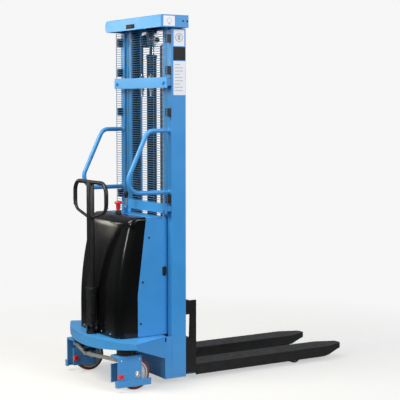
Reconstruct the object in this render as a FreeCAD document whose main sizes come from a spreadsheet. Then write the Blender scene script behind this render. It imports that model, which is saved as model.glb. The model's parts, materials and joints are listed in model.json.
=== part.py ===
"""Walkie stacker: a pedestrian forklift with a two-stage mast, electric lift and hand steering.

Frame: millimetres, +X to the truck's right, +Y towards the fork tips, +Z up. The origin is on the
floor, in the middle of the truck's length and width.
"""
import FreeCAD, Part
import math
import os
import re

import Sketcher

doc = FreeCAD.newDocument("WalkieStacker")
sheet = doc.addObject("Spreadsheet::Sheet", "Dims")

# ---------------------------------------------------------------- driving dimensions

RIM_REACH = 410          # chassis rim behind the mast's rear face
SHANK_FACE = 178         # fork shank's front face ahead of the mast's rear face
FORK_LENGTH = 1100

DIMENSIONS = {
    # whole truck: rear_face is the mast's rear face, measured from the origin
    "rear_face": (RIM_REACH - SHANK_FACE - FORK_LENGTH) / 2,
    "closed_height": 2080,
    "fork_length": FORK_LENGTH,
    "shank_face": SHANK_FACE,
    "rim_reach": RIM_REACH,
    "running_gap": 0.05,
    "body_gap": 0.3,
    # outer mast channels
    "mast_half": 300,
    "mast_depth": 94,
    "mast_foot": 45,
    "mast_head": 2008,
    "outer_web": 8,
    "outer_flange": 10,
    "outer_reach": 46,
    # inner mast channels and the crosshead on top of them
    "inner_half": 251,
    "inner_wall": 8,
    "inner_reach": 63,
    "inner_front": 84,
    "inner_foot": 92,
    "inner_tie": 58,
    "head_half": 337,
    "head_rear": 86,
    "head_front": 91,
    "head_tall": 69,
    "head_wall": 6,
    "head_corner": 30,
    "head_left_wall": 32,
    # rollers that run in the channels
    "roller_line": 47,
    "mast_roller": 36.8,
    "mast_roller_rise": 26,
    "mast_stud": 14,
    "carriage_roller": 28,
    "carriage_stud": 12,
    "low_roller": 192,
    "high_roller": 500,
    "pad_foot": 1925,
    "pad_tall": 60,
    # lift cylinder
    "cylinder_line": 43,
    "barrel_radius": 28.5,
    "bore_radius": 22.5,
    "barrel_head": 1850,
    "gland_tall": 22,
    "gland_radius": 31,
    "barrel_floor": 15,
    "rod_radius": 15,
    "rod_foot": 100,
    "piston_tall": 50,
    "rod_head": 1925,
    "port_rise": 140,
    "port_side": 100,
    "port_radius": 9,
    "elbow_radius": 11,
    "elbow_half": 20,
    "hose_radius": 6,
    "hose_bend": 60,
    "pump_port": 480,
    "pump_face": 112,
    # chains and their pulleys
    "pulley_side": 53,
    "pulley_rise": 1955,
    "pulley_rim": 40,
    "pulley_groove": 29.5,
    "pulley_half": 12,
    "pulley_web": 9,
    "pulley_axle": 10,
    "axle_collar": 15,
    "bracket_half": 22,
    "bracket_depth": 23,
    "bracket_plate": 12,
    "chain_half": 8.7,
    "chain_inner": 29.8,
    "chain_outer": 38.8,
    "hanger_half": 34,
    "axle_end": 70,
    "anchor_foot": 1630,
    "anchor_head": 1761,
    "anchor_bolt": 8,
    "anchor_nut": 13,
    "carriage_anchor": 440,
    "carriage_bolt": 6,
    # crossbeams, wire guard and grab handles behind the mast
    "beam_half": 313,
    "beam_rear": 38,
    "beam_plate": 6,
    "beam_tall": 60,
    "high_beam": 1678,
    "low_beam": 975,
    "low_beam_tall": 54,
    "low_beam_left": 150,
    "low_beam_right": 305,
    "low_foot_wide": 40,
    "spacer_inner": 262,
    "spacer_outer": 296,
    "spacer_inset": 12,
    "block_half": 15,
    "block_front": 24,
    "block_inset": 8,
    "guard_half": 304,
    "guard_rear": 31,
    "guard_wire": 4,
    "guard_line": 3.2,
    "guard_foot": 965,
    "guard_pitch": 13.3,
    "guard_rows": 78,
    "clip_inner": 276,
    "clip_half": 23,
    "handle_side": 277,
    "handle_radius": 12.5,
    "handle_top": 1440,
    "handle_low": 1095,
    "handle_turn": 137,
    "handle_reach": 303,
    "handle_high_bend": 55,
    "handle_low_bend": 70,
    # base, chassis and its bodywork
    "cross_rear": 43,
    "cross_wall": 8,
    "cross_head": 246,
    "floor_plate": 33,
    "cheek_head": 275,
    "tie_wall": 8,
    "tie_foot": 80,
    "tie_tall": 40,
    "post_wide": 20,
    "plate_foot": 272,
    "plate_thick": 8,
    "rim_half": 420,
    "corner_line": 288,
    "skirt_wall": 8,
    "skirt_corner": 248,
    "skirt_middle": 220,
    "gusset_rear": 245,
    "gusset_front": 152,
    "boss_radius": 32,
    "boss_tall": 20,
    "cover_foot": 282,
    "cover_head": 956,
    "cover_wall": 4,
    "cover_half": 255,
    "cover_rear": 320,
    "cover_upright": 422,
    "cover_sweep": 1705,
    "cover_lean": 14.2,
    "cover_top_bend": 61,
    "cover_corner": 55,
    "seam_low": 194,
    "seam_knee": 521,
    "seam_high": 139,
    "panel_wall": 6,
    "panel_front": 2,
    "panel_corner": 25,
    "panel_gap": 1,
    "panel_step": 2,
    "slot_left": 60,
    "slot_right": 225,
    "slot_rear": 62,
    "slot_front": 46,
    "latch_line": 22,
    "latch_foot": 630,
    "latch_head": 660,
    "latch_radius": 12.5,
    "latch_thick": 4,
    "screw_radius": 6,
    "screw_head": 3,
    # what stands inside the bodywork
    "battery_left": -235,
    "battery_right": 40,
    "battery_rear": 300,
    "battery_front": 120,
    "battery_tall": 228,
    "controller_left": -205,
    "controller_right": -25,
    "controller_rear": 275,
    "controller_front": 135,
    "controller_tall": 75,
    "tank_left": 62,
    "tank_right": 232,
    "tank_rear": 290,
    "tank_front": 110,
    "tank_tall": 160,
    "pump_left": 85,
    "pump_right": 205,
    "pump_rear": 250,
    "pump_front": 130,
    "pump_tall": 80,
    "motor_side": 145,
    "motor_line": 190,
    "motor_radius": 56,
    "motor_tall": 175,
    # support legs and load rollers
    "leg_side": 195,
    "leg_half": 50,
    "leg_foot": 30,
    "leg_head": 78,
    "leg_wall": 10,
    "leg_reach": 975,
    "load_line": 922,
    "load_radius": 40,
    "load_half": 30,
    "load_axle": 10,
    "load_slot": 52,
    "leg_nose": 8,
    "nose_tall": 18,
    # carriage and forks
    "carriage_half": 275,
    "carriage_rear": 100,
    "bar_front": 140,
    "side_wall": 12,
    "carriage_foot": 46,
    "low_bar_foot": 130,
    "low_bar_head": 250,
    "high_bar_foot": 385,
    "carriage_head": 465,
    "roller_plate": 172,
    "roller_plate_wall": 10,
    "roller_plate_rear": 25,
    "roller_plate_foot": 158,
    "roller_plate_head": 540,
    "shelf_half": 11,
    "shelf_depth": 34,
    "fork_inner": 114,
    "fork_outer": 274,
    "fork_head": 90,
    "fork_foot": 28,
    "fork_wall": 6,
    "fork_tip_half": 42,
    "fork_nose": 32,
    "fork_taper": 130,
    "fork_ramp": 170,
    "fork_tip_foot": 62,
    "tongue_inset": 12,
    "tongue_rear": 104,
    # steering column, tiller, tie rods and casters
    "column_line": 358,
    "column_radius": 18,
    "crank_throw": 38,
    "crank_foot": 183,
    "crank_thick": 10,
    "crank_half": 13,
    "crank_hub": 25,
    "pin_overhang": 4,
    "link_foot": 160,
    "link_thick": 20,
    "link_half": 6,
    "link_eye": 13,
    "link_pin": 8,
    "link_play": 2,
    "link_start": 20,
    "link_layer": 0.5,
    "pivot_rise": 325,
    "pivot_pin": 8,
    "clevis_inner": 17,
    "clevis_outer": 25,
    "clevis_half": 14,
    "clevis_drop": 22,
    "sleeve_wall": 6,
    "collar_wall": 12,
    "collar_tall": 12,
    "head_lift": 14,
    "tongue_half": 16.5,
    "tongue_depth": 12,
    "tiller_foot": 345,
    "tiller_socket": 535,
    "casting_step": 470,
    "casting_low_half": 27,
    "casting_low_depth": 18,
    "casting_high_half": 30,
    "casting_high_depth": 20,
    "tiller_half": 25,
    "tiller_depth": 15,
    "tiller_neck": 940,
    "loop_head": 1148,
    "loop_half": 198,
    "loop_low": 990,
    "loop_radius": 12,
    "loop_bend": 60,
    "caster_side": 285,
    "caster_line": 287,
    "caster_trail": 50,
    "wheel_radius": 90,
    "wheel_half": 25,
    "wheel_axle": 10,
    "fork_plate_half": 45,
    "cheek_wall": 8,
    "caster_rear": 72,
    "caster_front": 76,
    "caster_head": 200,
    "caster_plate": 10,
    "stem_radius": 25,
    "stem_head": 260,
    "ring_radius": 52,
    "ring_foot": 203,
    "ring_head": 245,
    "toe_foot": 28,
    "toe_head": 65,
    "toe_rear": 80,
    "toe_front": 132,
    "toe_wall": 8,
    "toe_return": 30,
    "cheek_foot": 45,
    "inner_cheek_head": 148,
    "inner_cheek_rear": 7,
    "pedal_rise": 90,
    "pedal_line": 38,
    "pedal_pin": 4,
    "pedal_face": 2,
    "pedal_wall": 5,
    "pedal_eye": 9,
    "pedal_arm": 7,
    "tread_wide": 20,
    "tread_rear": 74,
    "tread_front": 56,
    "tread_below": 12,
    "tread_above": 14,
    # emergency stop and the lift lever on top of the bodywork
    "stop_side": -30,
    "stop_line": 165,
    "stop_head": 1008,
    "stop_radius": 22.5,
    "stop_cap": 22,
    "stop_stem": 8,
    "stop_travel": 8,
    "stop_depth": 22,
    "stop_foot_radius": 18,
    "stop_neck_radius": 14,
    "lever_side": -55,
    "lever_line": 100,
    "lever_pivot": 992,
    "lever_pin": 4,
    "lever_hub": 8,
    "lever_hub_half": 6,
    "lever_stalk": 5,
    "lug_half": 8,
    "lug_inner": 7,
    "lug_outer": 11,
    "knob_foot": 1042,
    "knob_head": 1085,
    "knob_half": 13,
    "knob_depth": 12,
}

for row, (alias, number) in enumerate(DIMENSIONS.items(), start=1):
    sheet.set("A%d" % row, alias)
    sheet.set("B%d" % row, str(number))
    sheet.setAlias("B%d" % row, alias)
doc.recompute()

# Distance behind the mast's rear face and rise of the screws that hold each side panel.
PANEL_SCREWS = ((120, 841), (161, 591), (175, 356))
# Middle of each clip that ties the wire guard to the mast.
CLIP_RISES = (1056, 1542, 1776, 1952)

# ---------------------------------------------------------------- small tools for parametric pieces

MATHS = ("sqrt", "sin", "cos", "tan")
PLANE_NORMALS = {"XY_Plane": ("z", 1), "XZ_Plane": ("y", -1), "YZ_Plane": ("x", 1)}
TURNS = {
    "X": FreeCAD.Rotation(FreeCAD.Vector(0, 1, 0), 90),
    "Y": FreeCAD.Rotation(FreeCAD.Vector(1, 0, 0), -90),
    "Z": FreeCAD.Rotation(),
}


def named(formula):
    """A formula whose bare words become the sheet's cells."""
    def cell(match):
        word = match.group(0)
        return word if word in MATHS else "Dims." + word
    return re.sub(r"[a-z_]{2,}", cell, str(formula))


def value(formula):
    """What a formula comes to with the sheet's present numbers."""
    return float(sheet.evalExpression(named(formula)))


def bind(item, **formulas):
    for prop, formula in formulas.items():
        item.setExpression(prop, named(formula))
    return item


def place(item, x=0, y=0, z=0):
    for axis, formula in zip("xyz", (x, y, z)):
        item.setExpression("Placement.Base." + axis, named(formula))
    return item


def add(kind, label):
    item = doc.addObject(kind, label)
    item.Label = label
    return item


def fore(distance):
    """Y of a point this far ahead of the mast's rear face."""
    return "(rear_face + (%s))" % distance


def aft(distance):
    """Y of a point this far behind the mast's rear face."""
    return "(rear_face - (%s))" % distance


def box(label, x, y, z):
    """A box between the low and high formula of each axis."""
    item = add("Part::Box", label)
    bind(item, Length="(%s) - (%s)" % (x[1], x[0]), Width="(%s) - (%s)" % (y[1], y[0]),
         Height="(%s) - (%s)" % (z[1], z[0]))
    return place(item, x[0], y[0], z[0])


def cylinder(label, radius, axis, span, centre):
    """A round bar along an axis: span is its low and high end, centre its other two coordinates."""
    item = add("Part::Cylinder", label)
    bind(item, Radius=radius, Height="(%s) - (%s)" % (span[1], span[0]))
    item.Placement = FreeCAD.Placement(FreeCAD.Vector(), TURNS[axis])
    spots = {"X": (span[0],) + tuple(centre),
             "Y": (centre[0], span[0], centre[1]),
             "Z": tuple(centre) + (span[0],)}
    return place(item, *spots[axis])


def cone(label, low_radius, high_radius, span, centre):
    item = add("Part::Cone", label)
    bind(item, Radius1=low_radius, Radius2=high_radius, Height="(%s) - (%s)" % (span[1], span[0]))
    return place(item, centre[0], centre[1], span[0])


def fuse(label, *pieces):
    item = add("Part::MultiFuse", label)
    item.Shapes = list(pieces)
    item.Refine = True
    return item


def cut(label, base, *tools):
    item = add("Part::Cut", label)
    item.Base = base
    item.Tool = tools[0] if len(tools) == 1 else fuse(label + "_tools", *tools)
    return item


def common(label, first, second):
    item = add("Part::Common", label)
    item.Base = first
    item.Tool = second
    return item


def group(label, *pieces):
    item = add("Part::Compound", label)
    item.Links = list(pieces)
    return item


def mirror(label, source):
    """The same piece on the other side of the truck's centre plane."""
    item = add("Part::Mirroring", label)
    item.Source = source
    item.Normal = FreeCAD.Vector(1, 0, 0)
    return item


def pair(label, source):
    """A piece and its mirror image as one node of separate solids."""
    return group(label, source, mirror(label + "_twin", source))


def beside(label, source):
    """The same piece on the left caster, moved over and not mirrored."""
    return place(group(label, source), x="-2 * caster_side")


def soften(label, base, radius, chosen):
    """Round every edge for which chosen(edge) is true."""
    doc.recompute()
    item = add("Part::Fillet", label)
    item.Base = base
    item.Edges = [(number, radius, radius)
                  for number, edge in enumerate(base.Shape.Edges, start=1) if chosen(edge)]
    return item


def along(axis):
    """A test for straight edges that run along an axis."""
    direction = {"X": FreeCAD.Vector(1, 0, 0), "Y": FreeCAD.Vector(0, 1, 0),
                 "Z": FreeCAD.Vector(0, 0, 1)}[axis]

    def test(edge):
        if not isinstance(edge.Curve, Part.Line):
            return False
        return abs(abs(edge.Curve.Direction.dot(direction)) - 1) < 1e-6
    return test


def plane_of(body, role):
    return next(item for item in body.Origin.OriginFeatures if item.Role == role)


def new_sketch(body, name, role):
    sketch = body.newObject("Sketcher::SketchObject", name)
    sketch.AttachmentSupport = [(plane_of(body, role), "")]
    sketch.MapMode = "FlatFace"
    return sketch


def pin_point(sketch, geometry, end, x, y):
    """Hold one point of a sketch at a formula's distance from the origin each way."""
    for kind, formula in (("DistanceX", x), ("DistanceY", y)):
        number = sketch.addConstraint(Sketcher.Constraint(kind, -1, 1, geometry, end, value(formula)))
        sketch.setExpression("Constraints[%d]" % number, named(formula))


def end_at(sketch, geometry, point):
    """Which end of a sketch edge lies at a point."""
    gaps = [(sketch.getPoint(geometry, end) - point).Length for end in (1, 2)]
    return 1 if gaps[0] < gaps[1] else 2


def draw_outline(sketch, corners):
    """A closed outline: each corner is (x, y), or (x, y, radius) when an arc that turns left leads to
    it."""
    points = [FreeCAD.Vector(value(corner[0]), value(corner[1]), 0) for corner in corners]
    count = len(corners)
    for number in range(count):
        start = points[number]
        end = points[(number + 1) % count]
        target = corners[(number + 1) % count]
        if len(target) == 2:
            sketch.addGeometry(Part.LineSegment(start, end), False)
            continue
        radius = value(target[2])
        chord = end - start
        left = FreeCAD.Vector(-chord.y, chord.x, 0).normalize()
        depth = math.sqrt(max(radius ** 2 - (chord.Length / 2) ** 2, 0))
        centre = (start + end) * 0.5 + left * depth
        middle = centre - left * radius
        sketch.addGeometry(Part.Arc(start, middle, end), False)
        bound = sketch.addConstraint(Sketcher.Constraint("Radius", number, radius))
        sketch.setExpression("Constraints[%d]" % bound, named(target[2]))
    for number in range(count):
        after = (number + 1) % count
        joint = points[after]
        sketch.addConstraint(Sketcher.Constraint(
            "Coincident", number, end_at(sketch, number, joint), after, end_at(sketch, after, joint)))
    for number, corner in enumerate(corners):
        pin_point(sketch, number, end_at(sketch, number, points[number]), corner[0], corner[1])


def pad(label, role, corners, span):
    """A PartDesign body: an outline on an origin plane, padded between the two ends of span."""
    body = add("PartDesign::Body", label)
    sketch = new_sketch(body, label + "_outline", role)
    draw_outline(sketch, corners)
    feature = body.newObject("PartDesign::Pad", label + "_pad")
    feature.Profile = sketch
    bind(feature, Length="(%s) - (%s)" % (span[1], span[0]))
    axis, sign = PLANE_NORMALS[role]
    return place(body, **{axis: span[0] if sign > 0 else span[1]})


def pipe(label, role, route, radius, offset):
    """A round bar along straight runs joined by tangent arcs: each inner point of the route is
    (x, y, bend radius), and offset is the place of the route's plane along its normal axis."""
    body = add("PartDesign::Body", label)
    path = new_sketch(body, label + "_route", role)
    points = [FreeCAD.Vector(value(stop[0]), value(stop[1]), 0) for stop in route]
    begin = points[0]
    lines = []
    arcs = []
    for number in range(1, len(route) - 1):
        before = (points[number - 1] - points[number]).normalize()
        after = (points[number + 1] - points[number]).normalize()
        bend = value(route[number][2])
        half_turn = (math.pi - before.getAngle(after)) / 2
        enter = points[number] + before * bend * math.tan(half_turn)
        leave = points[number] + after * bend * math.tan(half_turn)
        inward = (before + after).normalize()
        middle = points[number] + inward * (bend / math.cos(half_turn) - bend)
        lines.append(path.addGeometry(Part.LineSegment(begin, enter), False))
        arcs.append(path.addGeometry(Part.Arc(enter, middle, leave), False))
        begin = leave
    lines.append(path.addGeometry(Part.LineSegment(begin, points[-1]), False))
    for number, arc in enumerate(arcs):
        first, second = lines[number], lines[number + 1]
        for line, line_end in ((first, 2), (second, 1)):
            spot = path.getPoint(line, line_end)
            path.addConstraint(Sketcher.Constraint("Tangent", line, line_end, arc, end_at(path, arc, spot)))
        bound = path.addConstraint(Sketcher.Constraint("Radius", arc, value(route[number + 1][2])))
        path.setExpression("Constraints[%d]" % bound, named(route[number + 1][2]))
        corner = path.addGeometry(Part.Point(points[number + 1]), True)
        path.addConstraint(Sketcher.Constraint("PointOnObject", corner, 1, first))
        path.addConstraint(Sketcher.Constraint("PointOnObject", corner, 1, second))
        pin_point(path, corner, 1, route[number + 1][0], route[number + 1][1])
    pin_point(path, lines[0], 1, route[0][0], route[0][1])
    pin_point(path, lines[-1], 2, route[-1][0], route[-1][1])
    doc.recompute()
    ring = body.newObject("Sketcher::SketchObject", label + "_ring")
    ring.AttachmentSupport = [(path, "Edge1")]
    ring.MapMode = "NormalToEdge"
    ring.addGeometry(Part.Circle(FreeCAD.Vector(), FreeCAD.Vector(0, 0, 1), value(radius)), False)
    ring.addConstraint(Sketcher.Constraint("Coincident", 0, 3, -1, 1))
    bound = ring.addConstraint(Sketcher.Constraint("Radius", 0, value(radius)))
    ring.setExpression("Constraints[%d]" % bound, named(radius))
    feature = body.newObject("PartDesign::AdditivePipe", label + "_tube")
    feature.Profile = ring
    feature.Spine = (path, ["Edge%d" % (number + 1) for number in range(len(lines) + len(arcs))])
    return place(body, **{PLANE_NORMALS[role][0]: offset})


nodes = []


def keep(*items):
    """Mark finished sub-parts, each of which becomes one node."""
    nodes.extend(items)


# ---------------------------------------------------------------- outer mast and base

def outer_mast():
    """Two rolled channels, open towards each other."""
    right = pad("outer_mast_right", "XY_Plane", [
        ("mast_half", fore(0)),
        ("mast_half", fore("mast_depth")),
        ("mast_half - outer_reach", fore("mast_depth")),
        ("mast_half - outer_reach", fore("mast_depth - outer_flange")),
        ("mast_half - outer_web", fore("mast_depth - outer_flange")),
        ("mast_half - outer_web", fore("outer_flange")),
        ("mast_half - outer_reach", fore("outer_flange")),
        ("mast_half - outer_reach", fore(0)),
    ], ("mast_foot", "mast_head"))
    keep(right, mirror("outer_mast_left", right))


def base_frame():
    """The welded box under the mast: rear cross plate, foot plates, side cheeks and a front tie."""
    behind = aft("cross_rear - cross_wall")
    tie_line = (fore("mast_depth - tie_wall"), fore("mast_depth"))
    leg_inside = "leg_side - leg_half - body_gap"
    rear_plate = box("base_rear", ("-mast_half", "mast_half"), (aft("cross_rear"), behind),
                     ("floor_plate", "cross_head"))
    middle = box("base_middle", ("-(%s)" % leg_inside, leg_inside), (behind, fore("mast_depth")),
                 ("floor_plate", "mast_foot"))
    foot = box("base_foot", ("leg_side + leg_half", "mast_half"), (behind, fore("mast_depth")),
               ("floor_plate", "mast_foot"))
    cheek = box("base_cheek", ("mast_half - outer_web", "mast_half"), (behind, fore(0)),
                ("floor_plate", "cheek_head"))
    tie = box("base_tie", ("outer_reach - mast_half", "mast_half - outer_reach"), tie_line,
              ("tie_foot", "tie_foot + tie_tall"))
    post = box("base_post", (leg_inside + " - post_wide", leg_inside), tie_line, ("mast_foot", "tie_foot"))
    keep(fuse("base_frame", rear_plate, middle, foot, mirror("base_foot_twin", foot), cheek,
              mirror("base_cheek_twin", cheek), tie, post, mirror("base_post_twin", post)))


def support_legs():
    """Channel legs, open underneath, slotted at the tip for the load roller."""
    behind = "cross_rear - cross_wall"
    outside = ("leg_side - leg_half", "leg_side + leg_half")
    inside = ("leg_side - leg_half + leg_wall", "leg_side + leg_half - leg_wall")
    through = ("leg_side - leg_half - 1", "leg_side + leg_half + 1")
    nose_line = fore("leg_reach - leg_nose")
    centre = (fore("load_line"), "load_radius")
    beam = box("leg_beam", outside, (aft(behind), fore("leg_reach")), ("leg_foot", "leg_head"))
    hollow = box("leg_hollow", inside, (aft(behind + " - 10"), nose_line), ("leg_foot - 1", "leg_head - 8"))
    slot = box("leg_slot", inside, (fore("load_line - load_slot"), nose_line), ("leg_foot", "leg_head + 1"))
    bore = cylinder("leg_bore", "load_axle + running_gap", "X", through, centre)
    nose = box("leg_nose", outside, (nose_line, fore("leg_reach + 1")), ("leg_foot", "leg_foot + nose_tall"))
    right = cut("support_leg_right", beam, hollow, slot, bore, nose)
    keep(right, mirror("support_leg_left", right))
    keep(pair("load_roller_axles", cylinder("load_axle_right", "load_axle", "X", outside, centre)))
    wheel = cylinder("load_wheel", "load_radius", "X", ("leg_side - load_half", "leg_side + load_half"),
                     centre)
    wheel_bore = cylinder("load_bore", "load_axle + running_gap", "X", through, centre)
    wheel_right = cut("load_roller_right", soften("load_wheel_round", wheel, 4, lambda edge: True),
                      wheel_bore)
    keep(wheel_right, mirror("load_roller_left", wheel_right))


# ---------------------------------------------------------------- chassis and bodywork

RIM_RADIUS = "((rim_half * rim_half + (rim_reach - corner_line)^2) / (2 * (rim_reach - corner_line)))"


def plan(inset, front):
    """The chassis outline seen from above, moved inwards by inset; front is its front edge's Y."""
    corner = "(rim_half - %s * 1.25)" % inset
    radius = "(%s - %s)" % (RIM_RADIUS, inset)
    corner_y = aft("rim_reach - %s + sqrt(%s^2 - %s^2)" % (RIM_RADIUS, radius, corner))
    return [
        ("mast_half - " + inset, front),
        ("%s - mast_half" % inset, front),
        ("-" + corner, corner_y),
        (corner, corner_y, radius),
    ]


def chassis():
    """The chassis plate with its caster mounts, and the skirt that hangs round its edge."""
    plate = pad("chassis_sheet", "XY_Plane", plan("0", aft("cross_rear - cross_wall")),
                ("plate_foot", "plate_foot + plate_thick"))
    swivel = ("caster_side", aft("caster_line"))
    mount = cylinder("caster_mount", "ring_radius + 3", "Z", ("ring_head", "plate_foot"), swivel)
    socket = cylinder("caster_socket", "stem_radius + running_gap", "Z", ("ring_head - 1", "stem_head + 1"),
                      swivel)
    boss = cylinder("column_boss", "boss_radius", "Z", ("plate_foot - boss_tall", "plate_foot"),
                    (0, aft("column_line")))
    boss_bore = cylinder("column_boss_bore", "column_radius + sleeve_wall", "Z",
                         ("plate_foot - boss_tall - 1", "plate_foot + plate_thick + 1"),
                         (0, aft("column_line")))
    keep(cut("chassis_plate", fuse("chassis_blank", plate, mount, mirror("caster_mount_twin", mount), boss),
             socket, mirror("caster_socket_twin", socket), boss_bore))

    wall = cut("skirt_wall_ring", pad("skirt_outside", "XY_Plane", plan("0", aft("cross_rear")),
                                      ("gusset_front", "plate_foot")),
               pad("skirt_inside", "XY_Plane", plan("skirt_wall", aft("cross_rear")),
                   ("gusset_front - 1", "plate_foot + 1")))
    crescent_sag = "(skirt_corner - skirt_middle)"
    crescent_radius = "((rim_half^2 + %s^2) / (2 * %s))" % (crescent_sag, crescent_sag)
    crescent = pad("skirt_crescent", "XZ_Plane", [
        ("rim_half", "plate_foot"),
        ("-rim_half", "plate_foot"),
        ("-rim_half", "skirt_corner"),
        ("rim_half", "skirt_corner", crescent_radius),
    ], (aft("rim_reach + 5"), aft("corner_line")))
    gusset = pad("skirt_gusset", "YZ_Plane", [
        (aft("corner_line"), "plate_foot"),
        (aft("corner_line"), "gusset_rear"),
        (aft("cross_rear"), "gusset_front"),
        (aft("cross_rear"), "plate_foot"),
    ], ("-rim_half", "rim_half"))
    keep(fuse("chassis_skirt", common("skirt_rear", wall, crescent), common("skirt_sides", wall, gusset)))


def side_panels():
    """Flat bodywork beside the compartment, its rear edge on the cover's seam, and its fasteners."""
    head = "cover_head - panel_step"
    right = pad("side_panel_right", "YZ_Plane", [
        (aft("panel_front"), "cover_foot"),
        (aft("panel_front"), head + " - panel_corner"),
        (aft("panel_front + panel_corner"), head, "panel_corner"),
        (aft("seam_high - panel_gap"), head),
        (aft("seam_low - panel_gap"), "seam_knee"),
        (aft("seam_low - panel_gap"), "cover_foot"),
    ], ("cover_half - panel_wall", "cover_half"))
    keep(right, mirror("side_panel_left", right))

    sheet_top = box("top_sheet", ("panel_wall - cover_half", "cover_half - panel_wall"),
                    (aft("seam_high - panel_gap"), aft("panel_front + panel_wall")),
                    (head + " - panel_wall", head))
    slot = box("top_slot", ("slot_left", "slot_right"), (aft("slot_rear"), aft("slot_front")),
               (head + " - panel_wall - 1", "cover_head"))
    lug_depth = (aft("lever_line + lug_half"), aft("lever_line - lug_half"))
    lug_rise = (head + " - 1", "lever_pivot + lug_half")
    lug = box("lever_lug", ("lever_side + lug_inner", "lever_side + lug_outer"), lug_depth, lug_rise)
    lug_twin = box("lever_lug_twin", ("lever_side - lug_outer", "lever_side - lug_inner"), lug_depth,
                   lug_rise)
    pin = cylinder("lever_pin_bar", "lever_pin", "X",
                   ("lever_side - lug_outer - 2", "lever_side + lug_outer + 2"),
                   (aft("lever_line"), "lever_pivot"))
    keep(fuse("top_panel", cut("top_sheet_slotted", sheet_top, slot), lug, lug_twin, pin))

    latch_face = ("cover_half", "cover_half + latch_thick")
    latch_bar = box("latch_bar", latch_face,
                    (aft("latch_line + latch_radius"), aft("latch_line - latch_radius")),
                    ("latch_foot", "latch_head"))
    latch_ends = [cylinder("end_of_" + rise, "latch_radius", "X", latch_face, (aft("latch_line"), rise))
                  for rise in ("latch_foot", "latch_head")]
    screws = [cylinder("panel_screw_%d" % rise, "screw_radius", "X",
                       ("cover_half", "cover_half + screw_head"),
                       (aft(line), rise)) for line, rise in PANEL_SCREWS]
    latch = fuse("latch_right", latch_bar, *latch_ends)
    keep(pair("cover_fasteners", group("fasteners_right", latch, *screws)))


def cover_solid(name, inset):
    """The cover's outside, or with an inset the space inside it."""
    rear = "(cover_rear - %s)" % inset
    head = "(cover_head - %s)" % inset
    sweep = "(cover_sweep - %s)" % inset
    bend = "(cover_top_bend - %s)" % inset
    turn_rise = "(%s - %s * (1 - sin(cover_lean)))" % (head, bend)
    sweep_end_rise = "(cover_upright + %s * sin(cover_lean))" % sweep
    sweep_end_line = "(%s - %s * (1 - cos(cover_lean)))" % (rear, sweep)
    turn_line = "(%s - (%s - %s) * tan(cover_lean))" % (sweep_end_line, turn_rise, sweep_end_rise)
    top_line = "(%s - %s * cos(cover_lean))" % (turn_line, bend)
    foot = "cover_foot" if inset == "0" else "cover_foot - 1"
    reach = "0" if inset == "0" else "20"
    block = pad(name, "YZ_Plane", [
        (aft("seam_low - " + reach), foot),
        (aft("seam_low - " + reach), "seam_knee"),
        (aft("seam_high - " + reach), head),
        (aft(top_line), head),
        (aft(turn_line), turn_rise, bend),
        (aft(sweep_end_line), sweep_end_rise),
        (aft(rear), "cover_upright", sweep),
        (aft(rear), foot),
    ], ("%s - cover_half" % inset, "cover_half - %s" % inset))
    doc.recompute()
    side = value("cover_half - %s" % inset)
    limit = value(aft("seam_low")) - 1
    knee = value(aft(top_line)) + 0.01

    def on_rear_corner(edge):
        box_of = edge.BoundBox
        at_side = abs(abs(box_of.Center.x) - side) < 1e-3 and box_of.XLength < 1e-3
        behind = box_of.YMax < knee
        upright = box_of.ZLength > 1
        return at_side and behind and upright and (box_of.YMin < limit)
    return soften(name + "_round", block, value("cover_corner - %s" % inset), on_rear_corner)


def rear_cover():
    """A moulded shell over the compartment, open at the front and underneath."""
    keep(cut("rear_cover", cover_solid("cover_outside", "0"), cover_solid("cover_inside", "cover_wall")))


def compartment():
    """What stands inside the bodywork: battery, controller, oil tank, pump block and motor."""
    floor = "plate_foot + plate_thick"
    shelf = floor + " + battery_tall"
    deck = floor + " + tank_tall"
    mount = deck + " + pump_tall"
    battery = box("battery_case", ("battery_left", "battery_right"),
                  (aft("battery_rear"), aft("battery_front")),
                  (floor, shelf))
    keep(soften("battery", battery, 6, along("Z")))
    controller = box("controller_case", ("controller_left", "controller_right"),
                     (aft("controller_rear"), aft("controller_front")), (shelf, shelf + " + controller_tall"))
    keep(soften("controller", controller, 5, along("Z")))
    tank = box("tank_shell", ("tank_left", "tank_right"), (aft("tank_rear"), aft("tank_front")),
               (floor, deck))
    keep(soften("oil_tank", tank, 14, along("Z")))
    block = box("pump_body", ("pump_left", "pump_right"), (aft("pump_rear"), aft("pump_front")),
                (deck, mount))
    port = cylinder("pump_outlet", "port_radius", "Y", (aft("pump_front"), aft("pump_face")),
                    ("port_side", "pump_port"))
    keep(fuse("pump_block", block, port))
    motor = cylinder("motor_case", "motor_radius", "Z", (mount, mount + " + motor_tall"),
                     ("motor_side", aft("motor_line")))
    keep(soften("motor", motor, 6, lambda edge: edge.BoundBox.Center.z > value(mount) + 1
                and edge.BoundBox.ZLength < 1e-3))


# ---------------------------------------------------------------- beams, guard and handles

def guard_window(name, x, rise, half_x, half_z):
    """A clearance through the wire guard round a piece that passes it."""
    return box(name, ("%s - %s" % (x, half_x), "%s + %s" % (x, half_x)),
               (aft("guard_rear + 5"), aft("guard_rear - guard_wire - 5")),
               ("%s - %s" % (rise, half_z), "%s + %s" % (rise, half_z)))


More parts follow.
